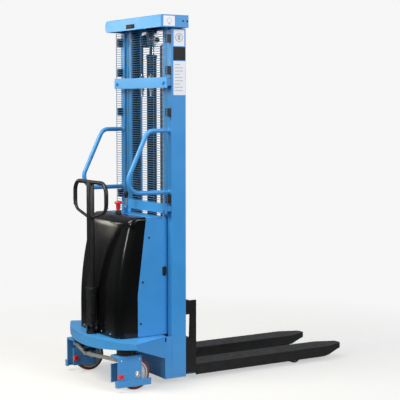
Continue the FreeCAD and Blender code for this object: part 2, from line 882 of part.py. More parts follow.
def beams():
    """The upper beam carries the chain anchors; the lower beam stands on the top panel."""
    face = (aft("beam_rear"), aft("beam_rear - beam_plate"))
    to_mast = (aft("beam_rear - beam_plate"), fore(0))
    spacer_x = ("spacer_inner", "spacer_outer")
    strand = ("pulley_side", fore("cylinder_line - (chain_inner + chain_outer) / 2"))
    plate = box("high_plate", ("-beam_half", "beam_half"), face, ("high_beam", "high_beam + beam_tall"))
    spacer = box("high_spacer", spacer_x, to_mast,
                 ("high_beam + spacer_inset", "high_beam + beam_tall - spacer_inset"))
    block = box("anchor_block", ("pulley_side - block_half", "pulley_side + block_half"),
                (aft("beam_rear - beam_plate"), fore("block_front")),
                ("high_beam + block_inset", "high_beam + beam_tall - block_inset"))
    hole = cylinder("anchor_hole", "anchor_bolt", "Z", ("high_beam", "high_beam + beam_tall"), strand)
    blank = fuse("anchor_beam_blank", plate, spacer, mirror("high_spacer_twin", spacer), block,
                 mirror("anchor_block_twin", block))
    keep(cut("anchor_beam", blank, hole, mirror("anchor_hole_twin", hole)))
    rod = cylinder("anchor_rod", "anchor_bolt", "Z", ("anchor_foot", "anchor_head"), strand)
    nut = cylinder("anchor_nut", "anchor_nut", "Z", ("high_beam - 6", "high_beam + block_inset"), strand)
    keep(pair("chain_anchors", fuse("chain_anchor_right", rod, nut)))

    low_plate = box("low_plate", ("-low_beam_left", "low_beam_right"), face,
                    ("low_beam", "low_beam + low_beam_tall"))
    foot = box("low_foot", ("-low_beam_left", "low_foot_wide - low_beam_left"), face,
               ("cover_head - panel_step", "low_beam"))
    low_spacer = box("low_spacer", spacer_x, to_mast,
                     ("low_beam + spacer_inset", "low_beam + low_beam_tall - spacer_inset"))
    keep(fuse("lower_guard_beam", low_plate, foot, low_spacer))


def upright_rectangle(left, low, right, high):
    """A closed wire in the plane Y 0."""
    corners = ((left, low), (right, low), (right, high), (left, high), (left, low))
    return Part.makePolygon([FreeCAD.Vector(x, 0, z) for x, z in corners])


def mesh_guard():
    """A welded wire panel: close level wires on five uprights, cut away round what passes it."""
    wire = value("guard_line")
    pitch = value("guard_pitch")
    half = value("guard_half")
    foot = value("guard_foot")
    rows = int(value("guard_rows"))
    bays = 4
    bay = (2 * half - wire) / bays
    outline = [upright_rectangle(-half, foot, half, foot + rows * pitch + wire)]
    for row in range(rows):
        low = foot + wire + row * pitch
        for column in range(bays):
            left = -half + wire + column * bay
            outline.append(upright_rectangle(left, low, left + bay - wire, low + pitch - wire))
    panel = add("Part::Feature", "guard_panel")
    face = Part.makeFace(outline, "Part::FaceMakerBullseye")
    panel.Shape = face.extrude(FreeCAD.Vector(0, value("guard_wire"), 0))
    place(panel, y=aft("guard_rear"))

    high_line = "high_beam + beam_tall / 2"
    spacer_line = "(spacer_inner + spacer_outer) / 2"
    windows = []
    for side in ("", "-"):
        windows.append(guard_window("window_handle_top" + side, side + "handle_side", "handle_top", 19, 19))
        windows.append(guard_window("window_handle_low" + side, side + "handle_side", "handle_low", 19, 19))
        windows.append(guard_window("window_spacer" + side, side + spacer_line, high_line, 20, 22))
        windows.append(guard_window("window_anchor" + side, side + "pulley_side", high_line, 18, 26))
    low_line = "low_beam + low_beam_tall / 2"
    windows.append(guard_window("window_low_spacer", spacer_line, low_line, 20, 19))
    keep(cut("mesh_guard", panel, *windows))
    clips = [box("guard_clip_%d" % rise, ("clip_inner", "mast_half"),
                 (aft("guard_rear - guard_wire"), fore(0)),
                 ("%d - clip_half" % rise, "%d + clip_half" % rise)) for rise in CLIP_RISES]
    keep(pair("guard_clips", group("guard_clips_right", *clips)))


def grab_handles():
    """Bent tubes on the mast's rear flanges."""
    right = pipe("grab_handle_right", "YZ_Plane", [
        (fore(0), "handle_top"),
        (aft("handle_turn"), "handle_top", "handle_high_bend"),
        (aft("handle_reach"), "handle_low", "handle_low_bend"),
        (fore(0), "handle_low"),
    ], "handle_radius", "handle_side")
    keep(right, mirror("grab_handle_left", right))


# ---------------------------------------------------------------- lift cylinder, hose and chains

def lift_cylinder():
    """The barrel with its port, the gland on top of it, the rod and piston, and the hose to the pump."""
    centre = (0, fore("cylinder_line"))
    tube = cylinder("barrel_tube", "barrel_radius", "Z", ("mast_foot", "barrel_head"), centre)
    bore = cylinder("barrel_bore", "bore_radius", "Z", ("mast_foot + barrel_floor", "barrel_head + 1"),
                    centre)
    arm = cylinder("port_arm", "port_radius", "X", ("bore_radius + 2", "port_side"),
                   (fore("cylinder_line"), "port_rise"))
    elbow = cylinder("port_elbow", "elbow_radius", "Z",
                     ("port_rise - elbow_radius - 2", "port_rise + elbow_half"),
                     ("port_side", fore("cylinder_line")))
    keep(cut("cylinder_barrel", fuse("barrel_blank", tube, arm, elbow), bore))
    ring = cylinder("gland_ring", "gland_radius", "Z", ("barrel_head", "barrel_head + gland_tall"), centre)
    ring_bore = cylinder("gland_bore", "rod_radius + running_gap", "Z",
                         ("barrel_head - 1", "barrel_head + gland_tall + 1"), centre)
    keep(cut("cylinder_gland", ring, ring_bore))
    rod = cylinder("rod_bar", "rod_radius", "Z", ("rod_foot", "rod_head"), centre)
    piston = cylinder("piston_head", "bore_radius - running_gap", "Z", ("rod_foot", "rod_foot + piston_tall"),
                      centre)
    keep(fuse("piston_rod", rod, piston))
    keep(pipe("hydraulic_hose", "YZ_Plane", [
        (aft("pump_face"), "pump_port"),
        (fore("cylinder_line"), "pump_port", "hose_bend"),
        (fore("cylinder_line"), "port_rise + elbow_half"),
    ], "hose_radius", "port_side"))


def chains():
    """Leaf chains: a rear strand to the fixed anchor, a wrap over the pulley and a front strand."""
    x_span = ("pulley_side - chain_half", "pulley_side + chain_half")
    tool_span = ("pulley_side - 20", "pulley_side + 20")
    centre = (fore("cylinder_line"), "pulley_rise")
    behind = (fore("cylinder_line - chain_outer"), fore("cylinder_line - chain_inner"))
    ahead = (fore("cylinder_line + chain_inner"), fore("cylinder_line + chain_outer"))
    rear = box("rear_strand", x_span, behind, ("anchor_head", "pulley_rise"))
    front = box("front_strand", x_span, ahead, ("carriage_anchor", "pulley_rise"))
    keep(pair("chain_rear_strands", rear), pair("chain_front_strands", front))
    disc = cylinder("wrap_disc", "chain_outer", "X", x_span, centre)
    inside = cylinder("wrap_inside", "chain_inner", "X", tool_span, centre)
    below = box("wrap_below", tool_span, (fore("cylinder_line - 60"), fore("cylinder_line + 60")),
                ("pulley_rise - 60", "pulley_rise"))
    keep(pair("chain_wraps", cut("wrap_right", disc, inside, below)))

    inner_rim = ("pulley_side - pulley_half", "pulley_side - pulley_web")
    outer_rim = ("pulley_side + pulley_web", "pulley_side + pulley_half")
    groove = cylinder("pulley_groove_disc", "pulley_groove", "X", (inner_rim[0], outer_rim[1]), centre)
    rims = [cylinder("pulley_rim_in", "pulley_rim", "X", inner_rim, centre),
            cylinder("pulley_rim_out", "pulley_rim", "X", outer_rim, centre)]
    hole = cylinder("pulley_hole", "pulley_axle + running_gap", "X", tool_span, centre)
    keep(pair("chain_pulleys", cut("pulley_right", fuse("pulley_blank", groove, *rims), hole)))


# ---------------------------------------------------------------- inner mast

def inner_mast():
    """Channels that open inwards, tied at the foot, with studs for the rollers in the outer mast."""
    span = ("inner_foot", "closed_height - head_wall")
    channel = pad("inner_channel", "XY_Plane", [
        ("inner_half", fore("outer_flange")),
        ("inner_half", fore("inner_front")),
        ("inner_half - inner_reach", fore("inner_front")),
        ("inner_half - inner_reach", fore("inner_front - inner_wall")),
        ("inner_half - inner_wall", fore("inner_front - inner_wall")),
        ("inner_half - inner_wall", fore("outer_flange + inner_wall")),
        ("inner_half - inner_reach", fore("outer_flange + inner_wall")),
        ("inner_half - inner_reach", fore("outer_flange")),
    ], span)
    stud = cylinder("inner_stud", "mast_stud", "X", ("inner_half - 1", "mast_half - outer_web - 2"),
                    (fore("roller_line"), "inner_foot + mast_roller_rise"))
    tie = box("inner_tie_bar", ("inner_wall - inner_half", "inner_half - inner_wall"),
              (fore("inner_front - inner_wall"), fore("inner_front")),
              ("inner_foot", "inner_foot + inner_tie"))
    keep(fuse("inner_mast", channel, mirror("inner_channel_twin", channel), stud,
              mirror("inner_stud_twin", stud), tie))

    centre = (fore("roller_line"), "inner_foot + mast_roller_rise")
    span = ("inner_half + 4", "mast_half - outer_web - 4")
    disc = cylinder("mast_roller_disc", "mast_roller", "X", span, centre)
    hole = cylinder("mast_roller_hole", "mast_stud + running_gap", "X", ("inner_half", "mast_half"), centre)
    keep(pair("mast_rollers", cut("mast_roller_right", disc, hole)))
    pads = box("guide_pad", ("inner_half + 0.4", "mast_half - outer_web"),
               (fore("outer_flange + 2"), fore("inner_front - 2")), ("pad_foot", "pad_foot + pad_tall"))
    keep(pair("guide_pads", pads))


def crosshead():
    """The cap over both inner channels, open underneath, and the bracket that holds the pulleys."""
    foot = "closed_height - head_tall"
    outside = box("head_outside", ("-head_half", "head_half"), (aft("head_rear"), fore("head_front")),
                  (foot, "closed_height"))

    def left_end(edge):
        return along("Y")(edge) and edge.BoundBox.Center.x < 0
    rounded = soften("head_rounded", outside, value("head_corner"), left_end)
    ceiling = "closed_height - head_wall"
    inside = box("head_inside", ("head_left_wall - head_half", "head_half - head_wall"),
                 (aft("head_rear - head_wall"), fore("head_front - head_wall")), (foot + " - 1", ceiling))
    keep(cut("mast_crosshead", rounded, inside))

    line = (fore("cylinder_line - bracket_depth"), fore("cylinder_line + bracket_depth"))
    block = box("rod_block", ("-bracket_half", "bracket_half"), line, ("rod_head", ceiling))
    plate = box("hanger_plate", ("-hanger_half", "hanger_half"), line,
                (ceiling + " - bracket_plate", ceiling))
    axle_centre = (fore("cylinder_line"), "pulley_rise")
    axle = cylinder("pulley_axle", "pulley_axle", "X", ("-axle_end", "axle_end"), axle_centre)
    collar = cylinder("axle_collar", "axle_collar", "X", ("axle_end - 4", "axle_end"), axle_centre)
    keep(fuse("pulley_bracket", block, plate, axle, collar, mirror("axle_collar_twin", collar)))


# ---------------------------------------------------------------- carriage and forks

def carriage():
    """Two level bars, four shank cheeks, the roller plates with their studs, and the chain anchors."""
    bar_x = ("-carriage_half", "carriage_half")
    bar_y = (fore("carriage_rear"), fore("bar_front"))
    low = box("low_bar", bar_x, bar_y, ("low_bar_foot", "low_bar_head"))
    high = box("high_bar", bar_x, bar_y, ("high_bar_foot", "carriage_head"))
    pieces = [low, high]
    cheek_outline = [
        (fore("carriage_rear"), "carriage_foot"),
        (fore("shank_face"), "carriage_foot"),
        (fore("shank_face"), "carriage_head"),
        (fore("carriage_rear"), "carriage_head"),
        (fore("carriage_rear"), "high_bar_foot"),
        (fore("bar_front - 2"), "high_bar_foot"),
        (fore("bar_front - 6"), "low_bar_head"),
        (fore("carriage_rear"), "low_bar_head"),
    ]
    for name, inner in (("outer", "carriage_half - side_wall"), ("inner", "fork_inner - 1")):
        cheek = pad("shank_" + name, "YZ_Plane", cheek_outline, (inner, inner + " + side_wall"))
        pieces += [cheek, mirror("shank_%s_twin" % name, cheek)]
    plate = box("roller_cheek", ("roller_plate", "roller_plate + roller_plate_wall"),
                (fore("roller_plate_rear"), fore("bar_front")), ("roller_plate_foot", "roller_plate_head"))
    pieces += [plate, mirror("roller_cheek_twin", plate)]
    for rise in ("low_roller", "high_roller"):
        stud = cylinder("stud_" + rise, "carriage_stud", "X",
                        ("roller_plate + 2", "inner_half - inner_wall - 6"),
                        (fore("roller_line"), rise))
        pieces += [stud, mirror("stud_twin_" + rise, stud)]
    strand = ("pulley_side", fore("cylinder_line + (chain_inner + chain_outer) / 2"))
    shelf = box("anchor_shelf", ("pulley_side - shelf_half", "pulley_side + shelf_half"),
                (fore("carriage_rear - shelf_depth"), fore("carriage_rear")),
                ("carriage_anchor - 40", "carriage_anchor - 16"))
    bolt = cylinder("carriage_bolt", "carriage_bolt", "Z", ("carriage_anchor - 60", "carriage_anchor"),
                    strand)
    pieces += [shelf, mirror("anchor_shelf_twin", shelf), bolt, mirror("carriage_bolt_twin", bolt)]
    keep(fuse("carriage_frame", *pieces))

    for name, rise in (("lower", "low_roller"), ("upper", "high_roller")):
        centre = (fore("roller_line"), rise)
        disc = cylinder("carriage_disc_" + name, "carriage_roller", "X",
                        ("roller_plate + roller_plate_wall + 20", "inner_half - inner_wall - 8"), centre)
        hole = cylinder("carriage_hole_" + name, "carriage_stud + running_gap", "X",
                        ("roller_plate", "inner_half"), centre)
        keep(pair("carriage_rollers_" + name, cut("carriage_roller_" + name, disc, hole)))


def forks():
    """Pressed blades: an upturned U that closes over the support leg, tapered and ramped at the tip."""
    tip = fore("shank_face + fork_length")
    taper = fore("shank_face + fork_length - fork_taper")
    ramp = fore("shank_face + fork_length - fork_ramp")
    middle = "((fork_inner + fork_outer) / 2)"
    blade = pad("fork_blade", "XY_Plane", [
        ("fork_inner", fore("shank_face")),
        ("fork_outer", fore("shank_face")),
        ("fork_outer", taper),
        (middle + " + fork_tip_half", tip + " - fork_nose"),
        (middle + " + fork_tip_half - fork_nose", tip, "fork_nose"),
        (middle + " - fork_tip_half + fork_nose", tip),
        (middle + " - fork_tip_half", tip + " - fork_nose", "fork_nose"),
        ("fork_inner", taper),
    ], ("fork_foot", "fork_head"))
    hollow = box("fork_hollow", ("fork_inner + fork_wall", "fork_outer - fork_wall"),
                 (fore("shank_face - 1"), taper + " - 20"), ("fork_foot - 1", "fork_head - fork_wall"))
    under = pad("fork_under", "YZ_Plane", [
        (ramp, "fork_foot"),
        (ramp, "fork_foot - 2"),
        (tip + " + 2", "fork_foot - 2"),
        (tip + " + 2", "fork_tip_foot"),
    ], ("fork_inner - 1", "fork_outer + 1"))
    tongue_x = ("fork_inner + tongue_inset", "carriage_half - side_wall - 1")
    tongue = box("fork_tongue", tongue_x, (fore("tongue_rear"), fore("shank_face + 2")),
                 ("fork_head - fork_wall", "fork_head"))
    heel = box("fork_heel", tongue_x, (fore("tongue_rear"), fore("bar_front")),
               ("fork_head - fork_wall", "low_bar_foot"))
    right = fuse("fork_right", cut("fork_shell", blade, hollow, under), tongue, heel)
    keep(right, mirror("fork_left", right))


# ---------------------------------------------------------------- steering

def column():
    """The steering column with its crank, its clevis and the pin the tiller turns on."""
    line = aft("column_line")
    pin_line = aft("column_line + crank_throw")
    head_foot = "plate_foot + plate_thick + head_lift"
    clevis_foot = "pivot_rise - clevis_drop"
    crank_span = ("crank_foot", "crank_foot + crank_thick")
    clevis_x = ("clevis_inner", "clevis_outer")
    shaft = cylinder("column_shaft", "column_radius", "Z", ("crank_foot", head_foot), (0, line))
    head = cylinder("column_head", "clevis_outer + 3", "Z", (head_foot, clevis_foot), (0, line))
    crank = box("column_crank", ("-crank_half", "crank_half"), (pin_line, line), crank_span)
    crank_end = cylinder("crank_end", "crank_half", "Z", crank_span, (0, pin_line))
    crank_hub = cylinder("crank_hub", "crank_hub", "Z", crank_span, (0, line))
    crank_pin = cylinder("crank_pin", "link_pin", "Z", ("link_foot - pin_overhang", "crank_foot"),
                         (0, pin_line))
    cheek_box = box("clevis_box", clevis_x, (line + " - clevis_half", line + " + clevis_half"),
                    (clevis_foot, "pivot_rise"))
    cheek_round = cylinder("clevis_round", "clevis_half", "X", clevis_x, (line, "pivot_rise"))
    cheek = fuse("clevis_cheek", cheek_box, cheek_round)
    pin = cylinder("tiller_pin", "pivot_pin", "X", ("-clevis_outer - 2", "clevis_outer + 2"),
                   (line, "pivot_rise"))
    keep(fuse("steering_column", shaft, head, crank, crank_end, crank_hub, crank_pin, cheek,
              mirror("clevis_twin", cheek), pin))


def tiller():
    """The casting on the column's pin, and the bar with its closed handle loop."""
    line = aft("column_line")

    def block(label, half, depth, span):
        return box(label, ("-" + half, half), (line + " - " + depth, line + " + " + depth), span)
    tongue = block("tiller_tongue", "tongue_half", "tongue_depth", ("pivot_rise", "tiller_foot"))
    tongue_end = cylinder("tiller_tongue_end", "tongue_depth", "X", ("-tongue_half", "tongue_half"),
                          (line, "pivot_rise"))
    lower = block("tiller_casting_low", "casting_low_half", "casting_low_depth",
                  ("tiller_foot", "casting_step"))
    upper = block("tiller_casting_high", "casting_high_half", "casting_high_depth",
                  ("casting_step", "tiller_socket"))
    casting = soften("tiller_casting", fuse("tiller_casting_blank", lower, upper), 5, along("Z"))
    bore = cylinder("tiller_bore", "pivot_pin + running_gap", "X", (-20, 20), (line, "pivot_rise"))
    keep(cut("tiller_base", fuse("tiller_base_blank", casting, tongue, tongue_end), bore))

    bar = block("tiller_bar_blank", "tiller_half", "tiller_depth", ("tiller_socket", "loop_head - 4"))
    half_loop = pipe("loop_half_right", "XZ_Plane", [
        (0, "loop_head"),
        ("loop_half", "loop_head", "loop_bend"),
        ("loop_half", "loop_low", "loop_bend"),
        (0, "tiller_neck"),
    ], "loop_radius", line)
    keep(fuse("tiller_arm", soften("tiller_bar", bar, 12, along("Z")), half_loop,
              mirror("loop_half_left", half_loop)))


def tie_rods():
    """Two rods from the crank's one pin to the casters; their eyes on that pin lie one above the other."""
    pin_line = aft("column_line + crank_throw")
    through = ("link_foot - 1", "link_foot + link_thick + 1")
    rise = "(column_line - caster_line)"
    length = "sqrt(caster_side^2 + %s^2)" % rise

    def beside_rod(share, shift):
        """A corner of the rod: a share of the way from pin to pin, moved sideways by shift."""
        x = "caster_side * %s - %s * %s / %s" % (share, shift, rise, length)
        y = "%s + %s * %s + %s * caster_side / %s" % (pin_line, rise, share, shift, length)
        return x, y
    start = "(link_start / %s)" % length
    web_end = "(1.2 * link_start / %s)" % length
    bar = pad("link_bar", "XY_Plane",
              [beside_rod(start, "(-link_half)"), beside_rod("1", "(-link_half)"),
               beside_rod("1", "link_half"), beside_rod(start, "link_half")],
              ("link_foot", "link_foot + link_thick"))
    far_pin = ("caster_side", aft("caster_line + crank_throw"))
    far_eye = cylinder("link_far_eye", "link_eye", "Z", ("link_foot", "link_foot + link_thick"), far_pin)
    far_hole = cylinder("link_far_hole", "link_pin + link_play", "Z", through, far_pin)
    layers = {"right": ("link_foot", "link_foot + link_thick / 2 - link_layer"),
              "left": ("link_foot + link_thick / 2 + link_layer", "link_foot + link_thick")}
    for side, layer in layers.items():
        near_eye = cylinder("link_near_eye_" + side, "link_eye", "Z", layer, (0, pin_line))
        near_web = pad("link_web_" + side, "XY_Plane", [
            (0, pin_line + " - link_half"),
            beside_rod(web_end, "(-link_half)"),
            beside_rod(web_end, "link_half"),
            (0, pin_line + " + link_half"),
        ], layer)
        near_hole = cylinder("link_near_hole_" + side, "link_pin + running_gap", "Z", through, (0, pin_line))
        blank = fuse("link_blank_" + side, bar, far_eye, near_eye, near_web)
        rod = cut("tie_rod_%s_shape" % side, blank, far_hole, near_hole)
        if side == "right":
            rod.Label = "tie_rod_right"
            keep(rod)
        else:
            keep(mirror("tie_rod_left", rod))


def caster_forks():
    """Steered forks, each with its stem, its wheel axle, the tie rod's pin and a toe guard."""
    swivel = aft("caster_line")
    rear = swivel + " - caster_rear"
    front = swivel + " + caster_front"
    low_x = "caster_side - fork_plate_half"
    high_x = "caster_side + fork_plate_half"
    inner_x = (low_x, low_x + " + cheek_wall")
    toe_span = ("toe_foot", "toe_head")
    toe_rear = swivel + " - toe_rear"
    toe_end = (toe_rear, toe_rear + " + toe_wall")
    pieces = [
        box("caster_top", (low_x, high_x), (rear, front), ("caster_head - caster_plate", "caster_head")),
        box("caster_outer", (high_x + " - cheek_wall", high_x), (rear, front), ("cheek_foot", "caster_head")),
        box("caster_inner", inner_x, (swivel + " + inner_cheek_rear", front), ("cheek_foot", "caster_head")),
        box("caster_inner_low", inner_x, (rear, front), ("cheek_foot", "inner_cheek_head")),
        cylinder("caster_stem", "stem_radius", "Z", ("caster_head", "stem_head"), ("caster_side", swivel)),
        cylinder("caster_axle", "wheel_axle", "X", (low_x, high_x + " + 3"),
                 (swivel + " + caster_trail", "wheel_radius")),
        cylinder("caster_pin", "link_pin", "Z", ("link_foot - pin_overhang", "caster_head - caster_plate"),
                 ("caster_side", swivel + " - crank_throw")),
        box("toe_outer", (high_x, high_x + " + toe_wall"), (toe_rear, swivel + " + toe_front"), toe_span),
        box("toe_back", (high_x + " + toe_wall - toe_return", high_x + " + toe_wall"), toe_end, toe_span),
    ]
    hinge = cylinder("pedal_pin", "pedal_pin", "X", (high_x, high_x + " + 10"),
                     (swivel + " - pedal_line", "pedal_rise"))
    body = fuse("caster_body", *pieces)
    keep(fuse("caster_fork_right", body, hinge),
         fuse("caster_fork_left", mirror("caster_body_twin", body), beside("pedal_pin_twin", hinge)))


def caster_wheels():
    centre = (aft("caster_line") + " + caster_trail", "wheel_radius")
    disc = cylinder("wheel_disc", "wheel_radius", "X",
                    ("caster_side - wheel_half", "caster_side + wheel_half"),
                    centre)
    hole = cylinder("wheel_hole", "wheel_axle + running_gap", "X", ("caster_side - 30", "caster_side + 30"),
                    centre)
    wheel = cut("steer_wheel_right", soften("wheel_round", disc, 7, lambda edge: True), hole)
    keep(wheel, mirror("steer_wheel_left", wheel))


def brake_pedals():
    """A pedal on the right-hand cheek of each caster."""
    swivel = aft("caster_line")
    cheek = "caster_side + fork_plate_half"
    wall = (cheek + " + pedal_face", cheek + " + pedal_face + pedal_wall")
    hinge = (swivel + " - pedal_line", "pedal_rise")
    arm = box("pedal_arm", wall, (swivel + " - 60", swivel + " - pedal_line"),
              ("pedal_rise - pedal_arm", "pedal_rise + pedal_arm"))
    eye = cylinder("pedal_eye", "pedal_eye", "X", wall, hinge)
    tread = box("pedal_tread", (cheek + " + pedal_face", cheek + " + pedal_face + tread_wide"),
                (swivel + " - tread_rear", swivel + " - tread_front"),
                ("pedal_rise - tread_below", "pedal_rise + tread_above"))
    eye_hole = cylinder("pedal_hole", "pedal_pin + running_gap", "X", (cheek, cheek + " + 10"), hinge)
    pedal = cut("brake_pedal_right", fuse("pedal_blank", arm, eye, tread), eye_hole)
    keep(pedal, beside("brake_pedal_left", pedal))


def steering_bearings():
    """The rings the casters turn in and the bush round the column."""
    centre = ("caster_side", aft("caster_line"))
    disc = cylinder("caster_ring_disc", "ring_radius", "Z", ("ring_foot", "ring_head"), centre)
    bore = cylinder("caster_ring_hole", "stem_radius + running_gap", "Z", ("ring_foot - 1", "ring_head + 1"),
                    centre)
    ring = cut("caster_ring", disc, bore)
    line = (0, aft("column_line"))
    top_face = "plate_foot + plate_thick"
    sleeve = cylinder("column_sleeve", "column_radius + sleeve_wall", "Z",
                      ("plate_foot - boss_tall", top_face), line)
    collar = cylinder("column_collar", "column_radius + collar_wall", "Z",
                      (top_face, top_face + " + collar_tall"),
                      line)
    hole = cylinder("column_hole", "column_radius + running_gap", "Z",
                    ("plate_foot - boss_tall - 1", top_face + " + collar_tall + 1"), line)
    bush = cut("column_bush", fuse("column_bush_blank", sleeve, collar), hole)
    keep(group("steering_bearings", ring, mirror("caster_ring_twin", ring), bush))


# ---------------------------------------------------------------- controls

def controls():
    """The emergency stop on the cover and the lift lever on the top panel."""
    centre = ("stop_side", aft("stop_line"))
    cap_head = "stop_head + stop_cap"
    body = cone("stop_body", "stop_foot_radius", "stop_neck_radius",
                ("cover_head", "stop_head - stop_travel"),
                centre)
    bore = cylinder("stop_bore", "stop_stem + running_gap", "Z",
                    ("stop_head - stop_depth - 8", "stop_head"), centre)
    keep(cut("estop_base", body, bore))
    disc = cylinder("stop_disc", "stop_radius", "Z", ("stop_head", cap_head), centre)
    cap = soften("stop_cap", disc, 6, lambda edge: edge.BoundBox.ZMin > value(cap_head) - 1)
    stem = cylinder("stop_stem", "stop_stem", "Z", ("stop_head - stop_depth", "stop_head"), centre)
    keep(fuse("estop_button", cap, stem))

    line = aft("lever_line")
    pivot = (line, "lever_pivot")
    hub = cylinder("lever_hub", "lever_hub", "X",
                   ("lever_side - lever_hub_half", "lever_side + lever_hub_half"),
                   pivot)
    stalk = cylinder("lever_stalk", "lever_stalk", "Z", ("lever_pivot", "knob_foot"), ("lever_side", line))
    blank = box("lever_knob_blank", ("lever_side - knob_half", "lever_side + knob_half"),
                (line + " - knob_depth", line + " + knob_depth"), ("knob_foot", "knob_head"))
    knob = soften("lever_knob", blank, 6, lambda edge: True)
    hole = cylinder("lever_hole", "lever_pin + running_gap", "X", ("lever_side - 8", "lever_side + 8"), pivot)
    keep(cut("control_lever", fuse("control_lever_blank", hub, stalk, knob), hole))


outer_mast()
base_frame()
support_legs()
chassis()
side_panels()
rear_cover()
compartment()
beams()
mesh_guard()
grab_handles()
lift_cylinder()
chains()
inner_mast()
crosshead()
carriage()
forks()
column()
tiller()
tie_rods()
caster_forks()
caster_wheels()
brake_pedals()
steering_bearings()
controls()
doc.recompute()

# ---------------------------------------------------------------- check and write

for item in doc.Objects:
    if "Invalid" in item.State or "Error" in item.State:
        raise RuntimeError("%s did not compute: %s" % (item.Label, item.State))

os.makedirs("parts", exist_ok=True)
for node in nodes:
    shape = node.Shape
    if shape.isNull() or not shape.isValid() or not shape.Solids:
        raise RuntimeError("%s has no valid solid" % node.Label)
    shape.exportStep("parts/%s.step" % node.Label)
    print("%-24s %2d solid(s) %12.0f mm3" % (node.Label, len(shape.Solids), shape.Volume))

whole = Part.makeCompound([node.Shape for node in nodes]).BoundBox
print("%d nodes" % len(nodes))
print("length %.1f, width %.1f, height %.1f" % (whole.YLength, whole.XLength, whole.ZMax))
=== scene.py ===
import json
import math

import bmesh
import bpy
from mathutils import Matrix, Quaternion, Vector


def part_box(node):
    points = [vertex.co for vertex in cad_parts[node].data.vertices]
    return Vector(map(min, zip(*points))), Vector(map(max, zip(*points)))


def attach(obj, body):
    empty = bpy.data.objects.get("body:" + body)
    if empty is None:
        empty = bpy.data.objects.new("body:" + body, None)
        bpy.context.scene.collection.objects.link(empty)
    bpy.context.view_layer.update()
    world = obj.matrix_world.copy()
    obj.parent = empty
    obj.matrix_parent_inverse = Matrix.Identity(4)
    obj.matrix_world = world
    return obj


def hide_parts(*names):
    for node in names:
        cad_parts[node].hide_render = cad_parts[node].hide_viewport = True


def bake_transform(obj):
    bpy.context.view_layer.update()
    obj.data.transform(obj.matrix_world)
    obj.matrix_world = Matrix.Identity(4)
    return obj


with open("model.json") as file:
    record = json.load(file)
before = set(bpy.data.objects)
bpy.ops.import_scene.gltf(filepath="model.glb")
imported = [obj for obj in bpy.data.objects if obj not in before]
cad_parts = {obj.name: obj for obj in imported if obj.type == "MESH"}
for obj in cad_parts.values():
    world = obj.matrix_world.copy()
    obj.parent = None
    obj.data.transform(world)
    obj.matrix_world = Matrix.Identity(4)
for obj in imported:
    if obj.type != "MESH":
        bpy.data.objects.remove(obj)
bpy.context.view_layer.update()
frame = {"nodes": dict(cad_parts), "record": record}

# Frame: metres, +X to the truck's right, +Y towards the fork tips, +Z up, the floor at Z 0.


def low(node):
    """Lowest corner of a CAD node."""
    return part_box(node)[0]


def high(node):
    """Highest corner of a CAD node."""
    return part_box(node)[1]


MAST_REAR = low("outer_mast_right").y
PULLEY_LINE = (low("chain_pulleys").y + high("chain_pulleys").y) / 2
PULLEY_RISE = low("chain_wraps").z
COLUMN_LINE = (low("tiller_arm").y + high("tiller_arm").y) / 2
CHAIN_HALF = 0.0087
PULLEY_SIDE = high("chain_wraps").x - CHAIN_HALF
SPACER_SIDE = 0.279
HANDLE_RADIUS = 0.0125
CHANNEL_WALL = 0.008
AXLE_BORE = 0.0101

# The cover's side view: how far its seam with the side panels lies behind the mast, and its sweep.
SEAM_LOW = 0.194
SEAM_HIGH = 0.139
SEAM_KNEE = 0.521
COVER_UPRIGHT = 0.422
COVER_SWEEP = 1.705
COVER_LEAN = math.radians(14.2)
COVER_TOP_BEND = 0.061
COVER_CORNER = 0.055


# ---------------------------------------------------------------- materials

def link_noise(tree, place, size, detail, stretch=(1, 1, 1)):
    """A noise texture whose features are about that many metres across."""
    mapping = tree.nodes.new("ShaderNodeMapping")
    mapping.inputs["Scale"].default_value = stretch
    noise = tree.nodes.new("ShaderNodeTexNoise")
    noise.inputs["Scale"].default_value = 1 / size
    noise.inputs["Detail"].default_value = detail
    tree.links.new(place.outputs["Object"], mapping.inputs["Vector"])
    tree.links.new(mapping.outputs["Vector"], noise.inputs["Vector"])
    return noise.outputs["Fac"]


def link_range(tree, source, from_low, from_high, to_low, to_high):
    """Maps one range of a value onto another, and clamps it there."""
    node = tree.nodes.new("ShaderNodeMapRange")
    limits = {"From Min": from_low, "From Max": from_high, "To Min": to_low, "To Max": to_high}
    for name, number in limits.items():
        node.inputs[name].default_value = number
    tree.links.new(source, node.inputs["Value"])
    return node.outputs["Result"]


def link_mix(tree, factor, first, second):
    """Mixes two colours, each a plain colour or an output socket."""
    node = tree.nodes.new("ShaderNodeMix")
    node.data_type = "RGBA"
    tree.links.new(factor, node.inputs[0])
    for socket, colour in ((node.inputs[6], first), (node.inputs[7], second)):
        if isinstance(colour, bpy.types.NodeSocket):
            tree.links.new(colour, socket)
        else:
            socket.default_value = (*colour, 1)
    return node.outputs[2]


